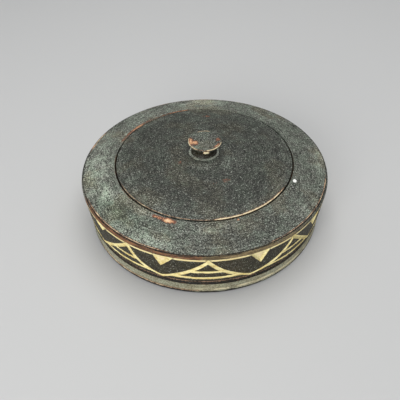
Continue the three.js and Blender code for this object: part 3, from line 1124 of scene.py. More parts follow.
def move_out(mesh, azimuth, distance):
    """Moves each point level and away from the axis by a distance in millimetres."""
    points = points_of(mesh)
    points[:, 0] += distance * MM * np.sin(np.radians(azimuth))
    points[:, 1] -= distance * MM * np.cos(np.radians(azimuth))
    put_points(mesh, points)


def bezier(points, share):
    """The point at a share of the way along the curve that a row of points pulls into shape."""
    row = list(points)
    while len(row) > 1:
        row = [first.lerp(second, share) for first, second in zip(row, row[1:])]
    return row[0]


def turned_places(mesh):
    """Azimuth in degrees, radius and height in millimetres of every point of a mesh."""
    x, y, z = points_of(mesh).T / MM
    return np.degrees(np.arctan2(x, -y)), np.hypot(x, y), z


def smooth(value, low, high):
    """A smooth step from 0 at the low value to 1 at the high one."""
    share = np.clip((value - low) / (high - low), 0, 1)
    return share * share * (3 - 2 * share)


def turned_from(azimuth, middle):
    """Degrees from a middle azimuth, the short way round."""
    return (azimuth - middle + 180) % 360 - 180


def stretch_window(azimuth, start, end, soft=8):
    """1 on a stretch round the box, falling to 0 over its soft ends."""
    middle, half = (start + end) / 2, (end - start) / 2
    return 1 - smooth(np.abs(turned_from(azimuth, middle)), half - soft, half + soft)


def fading(distance, spread):
    """1 in the middle of something, falling off softly over its spread."""
    return np.exp(-((distance / spread) ** 2))


def rubbed(edges, azimuth, radius, height):
    """How worn each point is by the rubbed edges near it."""
    worn = np.zeros_like(radius)
    for edge in edges:
        distance = np.hypot(radius - edge.radius, height - edge.height)
        level = np.full_like(radius, edge.base)
        for start, end, strength in edge.stretches:
            level = np.maximum(level, strength * stretch_window(azimuth, start, end))
        worn = np.maximum(worn, level * fading(distance, edge.spread))
    return worn


PATCH_REACH = 9  # millimetres past a patch's radius up to which its length grows with the radius


def patched(patches, azimuth, radius):
    """How far each point lies in one of the patches."""
    total = np.zeros_like(radius)
    for patch in patches:
        turn = np.radians(turned_from(azimuth, patch.azimuth))
        along = turn * np.minimum(radius, patch.radius + PATCH_REACH)
        covered = fading(along, patch.half_length) * fading(radius - patch.radius, patch.half_width)
        total = np.maximum(total, patch.strength * covered)
    return total


def paint(mesh, name, values):
    """Stores one number for each point."""
    layer = mesh.attributes.get(name) or mesh.attributes.new(name, "FLOAT", "POINT")
    layer.data.foreach_set("value", np.asarray(values, dtype=np.float32))


def sink(mesh, depth):
    """Sinks each point below its surface by a depth in millimetres."""
    points = points_of(mesh)
    normals = np.empty(points.size)
    mesh.vertex_normals.foreach_get("vector", normals)
    put_points(mesh, points - normals.reshape(-1, 3) * depth[:, None] * MM)


def finish_piece(item, body, node):
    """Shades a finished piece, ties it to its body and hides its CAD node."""
    item.data.shade_smooth()
    item.data.set_sharp_from_angle(angle=math.radians(SHARP_EDGE_DEG))
    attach(item, body)
    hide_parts(node)


# Where the box is rubbed. The front is 0 degrees and the right is 90.
def body_edges(settings, form):
    """The rubbed edges of the body, in millimetres."""
    body = settings.body
    shoulder, height = form.shoulder / MM, form.shoulder_height / MM
    foot = form.foot / MM
    mouth = (form.opening + body.mouth_round * 0.3) / MM
    return (
        Edge(shoulder, height, 0.42, 0.3,
             ((-66, -14, 0.8), (-118, -98, 1.0), (24, 80, 0.76), (150, 215, 0.6))),
        Edge(foot, body.foot_widest_height / MM + 1.5, 0.9, 0.35, ((-62, -2, 0.95),)),
        Edge(foot - 1, body.foot_height / MM - 0.3, 0.5, 0.4, ()),
        Edge(mouth, form.mouth_height / MM, 0.8, 0.3,
             ((-172, -104, 0.62), (-100, -25, 0.55), (60, 110, 0.45))),
    )


def lid_edges(form):
    """The rubbed edges of the lid, in millimetres."""
    return (
        Edge(form.lid / MM - 0.3, form.lid_edge_height / MM - 0.3, 0.4, 0.25,
             ((-66, 8, 0.84), (100, 170, 0.35))),
        Edge(form.lid / MM - 0.3, form.lid_edge_height / MM - 0.3, 0.85, 0, ((5, 58, 1.08),)),
    )


def knob_edges(form):
    """The rubbed edges of the knob, in millimetres."""
    rim, top = form.knob_rim / MM, form.knob_rim_height / MM
    return (
        Edge(rim - 0.2, top - 0.3, 0.7, 0.35,
             ((-112, -58, 1.4), (-60, 5, 0.72), (5, 85, 1.15), (158, 205, 1.5))),
        Edge(rim, top - 3.2, 2.0, 0, ((-4, 20, 1.2),)),
    )


BODY_RUBS = (
    Patch(-20, 86.1, 7.4, 2.5, 1.06),
    Patch(-26.5, 85.7, 8, 2.1, 0.72),
    Patch(-104, 113.2, 7, 2.2, 0.85),
    Patch(-126, 85.2, 34, 2.0, 0.76),
    Patch(-160, 84.4, 26, 1.5, 0.74),
    Patch(18.6, 85.2, 1.3, 0.8, 0.95),
)
BODY_CHIPS = (
    Patch(-20, 86, 4.2, 1.8, 0.45),
    Patch(-104, 113, 5, 2, 0.5),
    Patch(18.6, 85.2, 1.2, 0.8, 0.35),
)
WHITE_SPOTS = (
    Patch(67, 86.7, 2.3, 1.6, 1.6),
    Patch(61.5, 88, 0.9, 0.9, 1.0),
)
BODY_GREENS = (
    Patch(-46, 101, 36, 10, 0.9),
    Patch(-76, 105, 14, 7, 0.5),
)
# Paleness added on the shoulder: on the left and at the back it is partly painted sheen, partly pale
# bloom
BODY_PALES_AND_SHEEN = (
    Patch(-82, 103, 42, 15, 0.24),
    Patch(-60, 97, 10, 7, 0.42),
    Patch(-57, 87, 7, 3, 0.2),
    Patch(-30, 109, 32, 7.5, 0.25),
    Patch(-62, 96, 7, 4.5, 0.85),
    Patch(-130, 88.5, 80, 4, 0.1),
    Patch(138, 93, 14, 6, 0.06),
    Patch(-38, 88, 12, 5, 0.13),
    Patch(2, 91, 20, 5, 0.1),
    Patch(50, 106, 12, 8, 0.1),
    Patch(90, 109, 18, 6, 0.12),
    Patch(180, 106, 34, 14, 0.24),
    Patch(-140, 100, 30, 12, 0.08),
)
# Darkening on the shoulder, broadest to the front right: partly painted shade
BODY_DARKS_AND_SHADE = (
    Patch(16, 97, 72, 17, 0.06),
    Patch(29, 91, 11, 4, 0.08),
    Patch(-46, 93, 16, 5, 0.09),
    Patch(58, 103, 14, 5, 0.06),
)
FOOT_PALES = (
    Patch(-50, 112, 26, 30, 0.3),
    Patch(40, 112, 20, 30, 0.25),
)
LID_RUBS = (
    Patch(178, 65, 7, 2.6, 0.44),
    Patch(166, 60, 7, 2.6, 0.4),
    Patch(-56, 26, 4, 5, 0.42),
    Patch(11, 43.4, 7, 3.5, 0.38),
    Patch(26, 43.2, 7, 3.5, 0.38),
)
LID_PALES = (
    Patch(5, 20, 12, 5, 0.11),
    Patch(60, 28, 12, 10, 0.04),
    Patch(180, 28, 20, 8, 0.07),
    Patch(-35, 73, 30, 8, 0.03),
)
LID_DARKS = (
    Patch(-10, 58, 34, 15, 0.022),
    Patch(-100, 42, 34, 22, 0.008),
)
KNOB_RUBS = (
    Patch(-88, 13.4, 8.0, 3.6, 0.8),
    Patch(-72, 10.2, 4.6, 5.4, 0.82),
    Patch(98, 12.4, 5.0, 3.2, 0.8),
    Patch(62, 13.8, 6.4, 2.0, 0.7),
)

# How pale the scorched skin is, from 0 for black to 1 for its palest bloom
TOP_PALENESS = 0.2
BAND_PALENESS = 0.05
FOOT_PALENESS = 0.44
LID_PALENESS = 0.074
LID_EDGE_BLOOM = 0.03
KNOB_PALENESS = 0.16
# Paleness of the painted shade on the knob's sides under its rim
NECK_SHADE_PALENESS = 0.015
# Paleness of the ring round the knob's foot: dust in the corner, and a painted highlight along the
# foot
CORNER_DUST_AND_HIGHLIGHT = 2

# Places that the painting keeps to, in millimetres
FOOT_PAINT_EDGE = 0.4  # height over which the foot's paleness ends
UNDERSIDE_LEVEL = 0.05  # what lies lower is the flat underside
HOLLOW_MARGIN = 1  # how far out of the hollow its wood is bare as well
MOUTH_MARGIN = 0.5  # the same round the opening, and over the ledge
MOUTH_PAINT = (3, 1)  # how far under the mouth the scorched skin has ended, and starts to end
LID_PAINT = (4, 6)  # how far over the lid's seat the scorched skin starts, and is whole
LID_SIDE = 1  # width of the lid's scorched side, seen from below
LID_BLOOM_RADII = (70, 78)  # where the bloom along the lid's edge starts, and is full
CORNER_DUST_AND_HIGHLIGHT_SPREAD = 0.6  # how wide the dust and the painted highlight lie in the corner round the knob's foot
KNOB_PAINT = (2, 0.5)  # how far under the knob's rim its top's wear starts, and is full
# Painted shade on the knob's sides, under its rim:
NECK_START = 0.5  # how far over the knob's foot its sides turn dark
NECK_SOFT = (0.6, 1)  # height over which they turn dark at the foot, and pale at the rim


def paint_body(mesh, settings, form):
    """Chips the body and paints where it is worn, pale, spotted and bare; the shoulder's paleness is
    partly painted sheen and shade.
    """
    azimuth, radius, height = turned_places(mesh)
    on_top = smooth(height, form.widest_height / MM, form.shoulder_height / MM)
    foot_top = settings.body.foot_height / MM
    on_foot = 1 - smooth(height, foot_top - FOOT_PAINT_EDGE, foot_top)
    # The shoulder's top: paler on the left and at the back, darker to the front right; partly painted
    # sheen and shade, partly bloom
    top = TOP_PALENESS + patched(BODY_PALES_AND_SHEEN, azimuth, radius) - BAND_PALENESS
    top = np.maximum(top - patched(BODY_DARKS_AND_SHADE, azimuth, radius), 0)
    foot = FOOT_PALENESS + patched(FOOT_PALES, azimuth, radius) - BAND_PALENESS
    paint(mesh, "level", height)
    paint(mesh, "wear", rubbed(body_edges(settings, form), azimuth, radius, height))
    paint(mesh, "chip", patched(BODY_RUBS, azimuth, radius) * on_top)
    paint(mesh, "green", patched(BODY_GREENS, azimuth, radius) * on_top)
    paint(mesh, "pale", BAND_PALENESS + top * on_top + foot * on_foot)
    paint(mesh, "bare", bare_inside(settings, form, radius, height))
    paint(mesh, "spot", patched(WHITE_SPOTS, azimuth, radius) * on_top)
    sink(mesh, patched(BODY_CHIPS, azimuth, radius) * on_top)


def bare_inside(settings, form, radius, height):
    """How bare the wood is at each point: all of it in the mouth, in the hollow and underneath."""
    mouth = form.mouth_height / MM
    hollow = (form.widest - settings.body.wall_thickness) / MM
    in_mouth = 1 - smooth(height, *(mouth - depth for depth in MOUTH_PAINT))
    in_mouth = in_mouth * (radius < form.opening / MM + MOUTH_MARGIN)
    under_ledge = height < form.ledge_height / MM + MOUTH_MARGIN
    in_hollow = under_ledge & (radius < hollow + HOLLOW_MARGIN)
    return np.maximum(in_mouth, in_hollow | (height < UNDERSIDE_LEVEL))


def paint_lid(mesh, form):
    """Paints where the lid is worn, pale and bare, and a pale ring round the knob's foot that is dust
    and a painted highlight.
    """
    azimuth, radius, height = turned_places(mesh)
    upper = smooth(height, *(form.lid_seat / MM + lift for lift in LID_PAINT))
    pale = LID_PALENESS + patched(LID_PALES, azimuth, radius) - patched(LID_DARKS, azimuth, radius)
    bloom = smooth(radius, *LID_BLOOM_RADII) * LID_EDGE_BLOOM
    # A pale ring round the knob's foot: dust in the corner and a painted highlight
    dust_and_highlight = fading(radius - form.knob_seat / MM, CORNER_DUST_AND_HIGHLIGHT_SPREAD) * CORNER_DUST_AND_HIGHLIGHT
    paint(mesh, "wear", rubbed(lid_edges(form), azimuth, radius, height))
    paint(mesh, "chip", patched(LID_RUBS, azimuth, radius) * upper)
    paint(mesh, "pale", pale + bloom + dust_and_highlight)
    paint(mesh, "bare", (1 - upper) * (radius < form.lid / MM - LID_SIDE))


def paint_knob(mesh, form):
    """Paints where the knob is worn and pale, and painted shade on its sides under the rim."""
    azimuth, radius, height = turned_places(mesh)
    foot, rim_height = form.knob_foot_height / MM, form.knob_rim_height / MM
    under, full = KNOB_PAINT
    upper = smooth(height, rim_height - under, rim_height - full)
    # Painted shade on the knob's sides, from over its foot up to under its rim
    low, high = foot + NECK_START, rim_height - under
    painted_shade = smooth(height, low, low + NECK_SOFT[0]) * (1 - smooth(height, high, high + NECK_SOFT[1]))
    painted_shade = painted_shade * (radius < form.knob_rim / MM - full)
    paint(mesh, "wear", rubbed(knob_edges(form), azimuth, radius, height))
    paint(mesh, "chip", patched(KNOB_RUBS, azimuth, radius) * upper)
    paint(mesh, "pale", KNOB_PALENESS * (1 - painted_shade) + NECK_SHADE_PALENESS * painted_shade)


def new_material(name):
    """An empty node material."""
    material = bpy.data.materials.new(name)
    material.use_nodes = True
    material.node_tree.nodes.clear()
    return material, Graph(material.node_tree)


def painted(graph, name):
    """A number stored on the piece's points."""
    return graph.out(graph.add("ShaderNodeAttribute", attribute_name=name), "Fac")


# Width in millimetres of the features of the wood's noises
BROAD_FEATURE = 34
CLOUD_FEATURE = 8
FINE_FEATURE = 1.4
DOT_FEATURE = 0.8
STREAK_FEATURE = 1.3

# A streak of turning is as many times longer than wide as its radius is over this one
STREAK_RADIUS = 11

AXIS_RADIUS = 1e-5  # metres from the axis within which directions are no longer told apart


class Wood:
    """Fields of the wood that all its finishes share, read from where a point lies."""

    def __init__(self, graph):
        self.graph = graph
        place = graph.out(graph.add("ShaderNodeTexCoord"), "Object")
        self.x, self.y, z = graph.parts(place)
        self.out = graph.math("SQRT", self.x * self.x + self.y * self.y).most(AXIS_RADIUS)
        round_x = self.x / self.out * (STREAK_RADIUS * MM)
        round_y = self.y / self.out * (STREAK_RADIUS * MM)
        turned = graph.combined(round_x, round_y, self.out - z)
        self.broad = graph.noise(place, BROAD_FEATURE, 3)
        self.cloud = graph.noise(place, CLOUD_FEATURE, 4, 0.6)
        self.fine = graph.noise(place, FINE_FEATURE, 2, 0.6)
        self.dots = graph.noise(place, DOT_FEATURE, 1, 0.6)
        self.streaks = graph.noise(turned, STREAK_FEATURE, 3, 0.6)

    def uneven(self, **weights):
        """The named noises, each about its middle, added up by their weights."""
        return sum((getattr(self, name) - 0.5) * weight for name, weight in weights.items())

    def toward(self, degrees):
        """1 on the side that faces an azimuth, 0 a quarter turn away and -1 on the far side."""
        turn = math.radians(degrees)
        return (self.x * math.sin(turn) - self.y * math.cos(turn)) / self.out


def between(value, low, high, soft=0.12):
    """1 between two values, falling to 0 over a soft edge."""
    return value.rise(low - soft, low + soft) * (1 - value.rise(high - soft, high + soft))


# Between which values something starts to show, and shows whole. A noise's are from its middle.
BLOOMLESS = (0.062, 0.078)
COOL_CLOUDS = (-0.05, 0.1)
WARM_CLOUDS = (-0.01, 0.11)
DARK_STREAKS = (-0.2, -0.13)
FLECKS = (0.11, 0.16)
SCRATCHES = (0.11, 0.18)
SCRATCH_PARTS = (0, 0.08)
THIN_SKIN = (0.38, 0.54)
BARE_WOOD = (0.6, 0.74)
SHARPEST_WEAR = (0.82, 0.96)
WHITE_FLECK = (0.5, 0.75)

DARK_STREAK_STRENGTH = 0.45
FLECK_STRENGTH = 0.45
SCRATCH_STRENGTH = 0.25


def scorched_skin(wood, finish, contrast, brown):
    """The scorched skin, as pale as it is painted, with open grain, turning marks and flecks.

    Where no bloom lies it turns as brown as it is told to.
    """
    graph = wood.graph
    grain = wood.uneven(fine=5, dots=12, cloud=4, streaks=4.5, broad=2)
    pale = painted(graph, "pale")
    skin = graph.mix((pale * (1 + grain * contrast)).clamped(), finish.char_dark, finish.char_pale)
    for amount, tint in (
        (wood.uneven(cloud=1, broad=-0.3).rise(*COOL_CLOUDS), finish.cool),
        (wood.uneven(broad=1, cloud=-0.3).rise(*WARM_CLOUDS), finish.warm),
        ((1 - pale.rise(*BLOOMLESS)) * brown, finish.bare_char),
        (painted(graph, "green"), finish.green),
    ):
        skin = graph.mix(amount, skin, tint, "MULTIPLY")
    dark_streaks = 1 - wood.uneven(streaks=1).rise(*DARK_STREAKS)
    skin = graph.mix(dark_streaks * DARK_STREAK_STRENGTH, skin, finish.char_dark)
    flecks = wood.uneven(dots=0.7, fine=0.3).rise(*FLECKS) * (pale + FLECK_STRENGTH)
    scratches = wood.uneven(streaks=1).rise(*SCRATCHES) * wood.uneven(dots=1).rise(*SCRATCH_PARTS)
    scratches = scratches * (pale + SCRATCH_STRENGTH)
    return graph.mix(flecks.most(scratches).clamped(), skin, finish.speck)


def worn_through(wood, name, skin, thin, through, sharp):
    """Brown, then bare, then the palest wood where the skin is worn away by what is painted."""
    graph = wood.graph
    worn = painted(graph, name)
    worn = worn + wood.uneven(cloud=1.1) * worn.rise(0.0, 0.3) + wood.uneven(fine=0.8)
    for reach, shade in ((THIN_SKIN, thin), (BARE_WOOD, through), (SHARPEST_WEAR, sharp)):
        skin = graph.mix(worn.rise(*reach), skin, shade)
    return skin


def rubbed_through(wood, finish, skin):
    """Chips in orange wood, and edges rubbed down to tan and pale wood."""
    skin = worn_through(wood, "chip", skin, finish.chip_brown, finish.chip_orange, finish.chip_pale)
    return worn_through(wood, "wear", skin, finish.rub_brown, finish.rub_tan, finish.rub_pale)


def fresh_wood(wood, finish):
    """Freshly cut wood with darker streaks."""
    streaks = wood.uneven(streaks=0.6, fine=0.3, cloud=0.3).rise(-0.1, 0.14)
    return wood.graph.mix(streaks, finish.cut_pale, finish.cut_shade)


# Millimetres inside a cut, or outside it where less than 0
BURNT_RIM = (-1.6, -0.1)
STAINED_RIM = (-0.15, 0.22)
CUT_RIM = (-0.1, 0.1)
FLESH_DEPTH = (1.2, 4.2)

BROWN_STAINS = (0, 0.1)  # how far out of its middle a noise is where a stain is brown


def cut_wood(wood, finish, skin):
    """Pale wood in the carved cuts, with a stained edge and a scorched skin beside them."""
    graph = wood.graph
    cut = painted(graph, "cut")
    skin = graph.mix(cut.rise(*BURNT_RIM) * 0.5, skin, finish.cut_burn)
    depth = cut + wood.uneven(fine=0.8)
    stain = wood.uneven(cloud=1, fine=0.4).rise(*BROWN_STAINS)
    stained = graph.mix(stain, finish.cut_edge, finish.rub_brown)
    fresh = graph.mix(cut.rise(*FLESH_DEPTH) * 0.6, fresh_wood(wood, finish), finish.cut_flesh)
    fresh = graph.mix(depth.rise(*STAINED_RIM), stained, fresh)
    inside = depth.rise(*CUT_RIM)
    return graph.mix(inside, skin, fresh), inside


# Where the strip under the shoulder's edge is olive and where it is red, as azimuths, and how far
# it reaches round to both sides, as the cosine of the way round
OLIVE_AZIMUTH = 2
OLIVE_REACH = (0.62, 0.95)
RED_AZIMUTH = -34
RED_REACH = (0.8, 0.92)

# The upper part of the foot is rubbed pale most on this side
WORN_FOOT_AZIMUTH = 36
WORN_FOOT_REACH = (0.62, 0.92)
WORN_FOOT_LEVELS = (4.4, 6.2)

LINE_PAINT_EDGE = 0.1  # millimetres that a turned line's colour goes past its cut
# Painted shade darkens the foot's bottom edge up to this height
UNDERSIDE_SHADE = (2.6, 3.4)  # height in millimetres up to which the foot's bottom edge is dark


def strip_wood(wood, finish, skin):
    """The strip under the shoulder's edge: olive streaks in front, red ones on the left of them."""
    graph = wood.graph
    streak = wood.uneven(streaks=0.75, fine=0.25).rise(-0.1, 0.1)
    olive = graph.mix(streak, finish.strip_olive_dark, finish.strip_olive)
    red = graph.mix(streak, finish.strip_red_dark, finish.strip_red)
    ragged = wood.uneven(cloud=0.6)
    in_front = (wood.toward(OLIVE_AZIMUTH) + ragged).rise(*OLIVE_REACH)
    on_left = (wood.toward(RED_AZIMUTH) + ragged).rise(*RED_REACH)
    return graph.mix(on_left, graph.mix(in_front, skin, olive), red)


def shoulder_marks(wood, finish, settings, form, skin, level):
    """The strip under the shoulder's edge, painted shade in the scratched groove over it, and the
    upper line.
    """
    graph = wood.graph
    edge, groove = form.shoulder_height / MM, settings.body.edge_groove / MM
    low, high = form.upper_line_bottom / MM, form.upper_line_top / MM
    strip = strip_wood(wood, finish, skin)
    skin = graph.mix(between(level, high, edge - LINE_PAINT_EDGE), skin, strip)
    # Painted shade darkens the scratched groove under the shoulder's edge
    skin = graph.mix(between(level, edge - groove * 1.3, edge - groove * 0.15), skin, finish.groove)
    line = graph.mix(0.5, fresh_wood(wood, finish), finish.rub_pale)
    return graph.mix(between(level, low - LINE_PAINT_EDGE, high + LINE_PAINT_EDGE), skin, line)


def foot_marks(wood, finish, settings, form, skin, level):
    """The rubbed foot, painted shade under its bottom edge, in the groove over it and round the lower
    line, and the faint lower line inside that shade.
    """
    graph = wood.graph
    line, foot_top = form.lower_line / MM, settings.body.foot_height / MM
    on_foot = 1 - level.rise(foot_top - 0.2, foot_top)
    skin = graph.mix(on_foot * 0.5, skin, finish.foot_tan)
    worn = wood.toward(WORN_FOOT_AZIMUTH).rise(*WORN_FOOT_REACH)
    worn = worn * wood.uneven(cloud=1, streaks=1).rise(-0.15, 0.1)
    skin = graph.mix(between(level, *WORN_FOOT_LEVELS, 0.6) * worn * 0.7, skin, finish.rub_pale)
    # Painted shade: the foot's bottom edge, the groove over the foot and a band round the lower line
    # are darkened with the groove colour
    painted_shade = 1 - (level + wood.uneven(cloud=4)).rise(*UNDERSIDE_SHADE)
    painted_shade = painted_shade.most(between(level, foot_top - 1.1, form.groove_top / MM + 0.5))
    painted_shade = painted_shade.most(between(level, line - 1.4, line + 1.5) * 0.85)
    skin = graph.mix(painted_shade, skin, finish.groove)
    faint = between(level, line - 0.5, line + 0.3, 0.15)
    faint = faint * wood.uneven(cloud=0.6, streaks=1).rise(-0.22, 0)
    return graph.mix(faint * 0.9, skin, finish.faint_line)


def inside_wood(wood, finish, skin):
    """Plain brown wood inside the box and under the lid."""
    graph = wood.graph
    tone = wood.uneven(streaks=0.8, cloud=0.3).rise(-0.15, 0.15)
    bare = graph.mix(tone, finish.inside_dark, finish.inside)
    return graph.mix((painted(graph, "bare") + wood.uneven(cloud=0.4)).rise(0.35, 0.65), skin, bare)


def close_wood(wood, colours, roughness, bump, distance):
    """Ends a wood material in its shader."""
    graph = wood.graph
    raised = graph.add(
        "ShaderNodeBump", {"Height": bump, "Distance": distance * MM, "Strength": 1.0},
    )
    shader = graph.add(
        "ShaderNodeBsdfPrincipled",
        {"Base Color": colours, "Roughness": roughness.clamped(), "Specular IOR Level": 0.3,
         "Normal": graph.out(raised, "Normal")},
    )
    graph.add("ShaderNodeOutputMaterial", {"Surface": graph.out(shader, "BSDF")})


def body_wood(settings, form):
    """Scorched and carved wood of the body."""
    finish = settings.finish
    material, graph = new_material("scorched_carved_wood")
    wood = Wood(graph)
    level = painted(graph, "level") + wood.uneven(fine=0.9)
    skin = scorched_skin(wood, finish, contrast=0.6, brown=1)
    skin = shoulder_marks(wood, finish, settings, form, skin, level)
    skin = foot_marks(wood, finish, settings, form, skin, level)
    skin = rubbed_through(wood, finish, skin)
    skin = inside_wood(wood, finish, skin)
    skin, cut = cut_wood(wood, finish, skin)
    skin = graph.mix(painted(graph, "spot").rise(*WHITE_FLECK), skin, finish.spot)
    roughness = 0.62 + wood.uneven(cloud=0.3) + cut * 0.1
    bump = wood.uneven(streaks=0.6, fine=0.5, dots=0.4)
    close_wood(wood, skin, roughness, bump, distance=0.5)
    return material


def lid_wood(settings):
    """Scorched wood of the lid, rubbed smoother and darker."""
    finish = settings.finish
    material, graph = new_material("scorched_lid_wood")
    wood = Wood(graph)
    skin = scorched_skin(wood, finish, contrast=0.8, brown=0)
    skin = rubbed_through(wood, finish, skin)
    skin = inside_wood(wood, finish, skin)
    roughness = 0.58 + wood.uneven(cloud=0.3)
    bump = wood.uneven(streaks=0.5, fine=0.4, dots=0.3)
    close_wood(wood, skin, roughness, bump, distance=0.35)
    return material


def knob_wood(settings):
    """Wood of the knob, handled until it is rubbed through."""
    finish = settings.finish
    material, graph = new_material("worn_knob_wood")
    wood = Wood(graph)
    skin = scorched_skin(wood, finish, contrast=0.8, brown=1)
    skin = rubbed_through(wood, finish, skin)
    roughness = 0.5 + wood.uneven(cloud=0.3)
    bump = wood.uneven(streaks=0.5, fine=0.5)
    close_wood(wood, skin, roughness, bump, distance=0.4)
    return material


def stage_paint(shade):
    """Plain pale paint of the floor and backdrop."""
    material, graph = new_material("pale_stage")
    shader = graph.add(
        "ShaderNodeBsdfPrincipled",
        {"Base Color": (*shade, 1), "Roughness": 0.9, "Specular IOR Level": 0.2},
    )
    graph.add("ShaderNodeOutputMaterial", {"Surface": graph.out(shader, "BSDF")})
    return material


def settings_of(context):
    """The box's settings in the scene, and the places that follow from them."""
    settings = context.scene.carved_box
    return settings, Form(settings)


class CARVEDBOX_OT_body(bpy.types.Operator):
    """Build the hollowed body with its carved band"""
    bl_idname = "carved_box.body"
    bl_label = "Body"

    def execute(self, context):
        settings, form = settings_of(context)
        item = new_object(turned_mesh("carved_body", body_rings(settings, form)))
        paint_body(item.data, settings, form)
        plans = carving_plans(settings, form)
        material = body_wood(settings, form)
        use_carving(item, settings, form, plans, material)
        use_unevenness(item, BODY_UNEVENNESS, 0.0, SEAT_FADE * MM, material)
        made_plain(item)
        for plan in plans.values():
            bpy.data.objects.remove(plan)
        finish_piece(item, "box", "box_body")
        return {"FINISHED"}


class CARVEDBOX_OT_lid(bpy.types.Operator):
    """Build the domed lid"""
    bl_idname = "carved_box.lid"
    bl_label = "Lid"

    def execute(self, context):
        settings, form = settings_of(context)
        item = new_object(turned_mesh("domed_lid", lid_rings(settings, form)))
        paint_lid(item.data, form)
        use_unevenness(item, LID_UNEVENNESS, form.lid_seat, SEAT_FADE * MM, lid_wood(settings))
        made_plain(item)
        finish_piece(item, "lid", "lid")
        return {"FINISHED"}


class CARVEDBOX_OT_knob(bpy.types.Operator):
    """Build the turned knob"""
    bl_idname = "carved_box.knob"
    bl_label = "Knob"

    def execute(self, context):
        settings, form = settings_of(context)
        knob = settings.knob
        item = new_object(turned_mesh("turned_knob", knob_rings(settings, form)))
        thicken(item.data, knob, form)
        paint_knob(item.data, form)
        draw_in(item.data, knob, form)
        uneven, material = knob_unevenness(knob), knob_wood(settings)
        use_unevenness(item, uneven, form.knob_foot_height, knob.neck_rise, material)
        made_plain(item)
        finish_piece(item, "lid", "knob")
        return {"FINISHED"}


# The stage's floor lies just under the box and sweeps up into a backdrop, in metres
FLOOR_LEVEL = -0.0002
SWEEP_START = 1.0  # radius at which the floor starts to sweep up
SWEEP_RADIUS = 1.0
BACKDROP_TOP = (3.0, 2.5)

# Each lamp's place and what it faces, and its size, in metres
TOP_LAMP = ((0.1, 0.25, 1.5), (0, 0, 0), 1.3)
SIDE_LAMP = ((-0.5, -1.2, 0.55), (0, 0, 0.03), 0.8)

SKY_COLOUR = (0.95, 0.97, 1.0, 1)
SKY_SEEN = 0.9  # strength of the sky that the camera sees past the backdrop
SENSOR_WIDTH_MM = 36
NEAREST_SEEN = 0.01  # metres from the camera


class CARVEDBOX_OT_stage(bpy.types.Operator):
    """Build the pale floor and backdrop, the lamps and the camera"""
    bl_idname = "carved_box.stage"
    bl_label = "Stage"

    def execute(self, context):
        stage = context.scene.carved_box.stage
        sweep = Outline(FLOOR_LEVEL, STAGE_COLUMNS)
        sweep.to(SWEEP_START, FLOOR_LEVEL)
        sweep.arc(
            SWEEP_START + SWEEP_RADIUS, FLOOR_LEVEL + SWEEP_RADIUS, SWEEP_RADIUS, SWEEP_RADIUS,
            -90, 0, SWEEP_STEPS,
        )
        sweep.to(*BACKDROP_TOP)
        bowl = new_object(turned_mesh("floor_and_backdrop", sweep.rings))
        bowl.data.flip_normals()
        bowl.data.shade_smooth()
        bowl.data.materials.append(stage_paint(stage.floor))
        add_lamp("top_lamp", *TOP_LAMP, stage.top_lamp)
        add_lamp("side_lamp", *SIDE_LAMP, stage.side_lamp)
        add_sky(context.scene, stage.sky)
        add_camera(context.scene, stage)
        context.scene.view_settings.view_transform = "Standard"
        return {"FINISHED"}


def add_lamp(name, place, target, size, power):
    """A square soft lamp that faces a target."""
    light = bpy.data.lights.new(name, "AREA")
    light.shape = "SQUARE"
    light.size = size
    light.energy = power
    lamp = bpy.data.objects.new(name, light)
    lamp.location = place
    lamp.rotation_euler = (Vector(target) - Vector(place)).to_track_quat("-Z", "Y").to_euler()
    bpy.context.scene.collection.objects.link(lamp)


def add_sky(scene, strength):
    """Even light from all round, and plain white where the camera sees past the backdrop."""
    world = bpy.data.worlds.new("studio_sky")
    scene.world = world
    world.use_nodes = True
    world.node_tree.nodes.clear()
    graph = Graph(world.node_tree)
    seen = graph.out(graph.add("ShaderNodeLightPath"), "Is Camera Ray")
    background = graph.add(
        "ShaderNodeBackground",
        {"Color": SKY_COLOUR, "Strength": seen * (SKY_SEEN - strength) + strength},
    )
    graph.add("ShaderNodeOutputWorld", {"Surface": graph.out(background, "Background")})


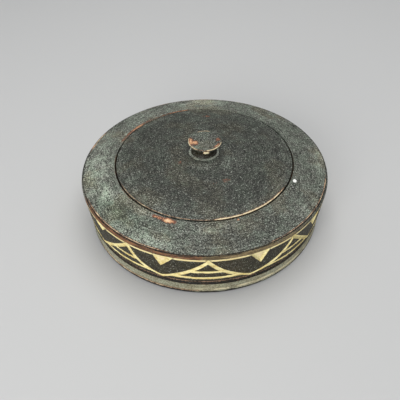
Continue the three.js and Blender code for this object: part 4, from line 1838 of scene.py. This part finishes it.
def add_camera(scene, stage):
    """The camera at the photograph's angle."""
    lens = bpy.data.cameras.new("camera")
    lens.sensor_width = SENSOR_WIDTH_MM
    lens.lens = stage.focal_length
    lens.clip_start = NEAREST_SEEN
    camera = bpy.data.objects.new("camera", lens)
    turn = Matrix.Rotation(stage.camera_turn, 4, "Z")
    tip = Matrix.Rotation(math.pi / 2 - stage.camera_pitch, 4, "X")
    roll = Matrix.Rotation(stage.camera_roll, 4, "Z")
    spot = Matrix.Translation((0, -stage.camera_distance, stage.camera_height))
    camera.matrix_world = spot @ turn @ tip @ roll
    scene.collection.objects.link(camera)
    scene.camera = camera


class CARVEDBOX_PT_panel(bpy.types.Panel):
    """Settings and buttons for the carved box"""
    bl_label = "Carved Box"
    bl_idname = "CARVEDBOX_PT_panel"
    bl_space_type = "VIEW_3D"
    bl_region_type = "UI"
    bl_category = "Carved Box"

    def draw(self, context):
        layout = self.layout
        settings = context.scene.carved_box
        for group, operator in SECTIONS:
            column = layout.column(align=True)
            sizes = getattr(settings, group)
            for name in sizes.__annotations__:
                column.prop(sizes, name)
            if operator:
                column.operator(operator)


SECTIONS = (
    ("body", "carved_box.body"),
    ("carving", ""),
    ("lid", "carved_box.lid"),
    ("knob", "carved_box.knob"),
    ("finish", ""),
    ("stage", "carved_box.stage"),
)

CLASSES = (
    BodySizes, LidSizes, KnobSizes, CarvingSizes, FinishColours, StageSettings,
    CarvedBoxSettings, CARVEDBOX_OT_body, CARVEDBOX_OT_lid, CARVEDBOX_OT_knob,
    CARVEDBOX_OT_stage, CARVEDBOX_PT_panel,
)


def register():
    """Registers the classes and puts the settings on the scene."""
    for item in CLASSES:
        bpy.utils.register_class(item)
    bpy.types.Scene.carved_box = PointerProperty(type=CarvedBoxSettings)


def unregister():
    """Takes the settings and the classes away again."""
    del bpy.types.Scene.carved_box
    for item in reversed(CLASSES):
        bpy.utils.unregister_class(item)


def main():
    """Builds the box piece by piece, then its stage."""
    register()
    bpy.ops.carved_box.body()
    bpy.ops.carved_box.lid()
    bpy.ops.carved_box.knob()
    bpy.ops.carved_box.stage()


if __name__ == "__main__":
    main()
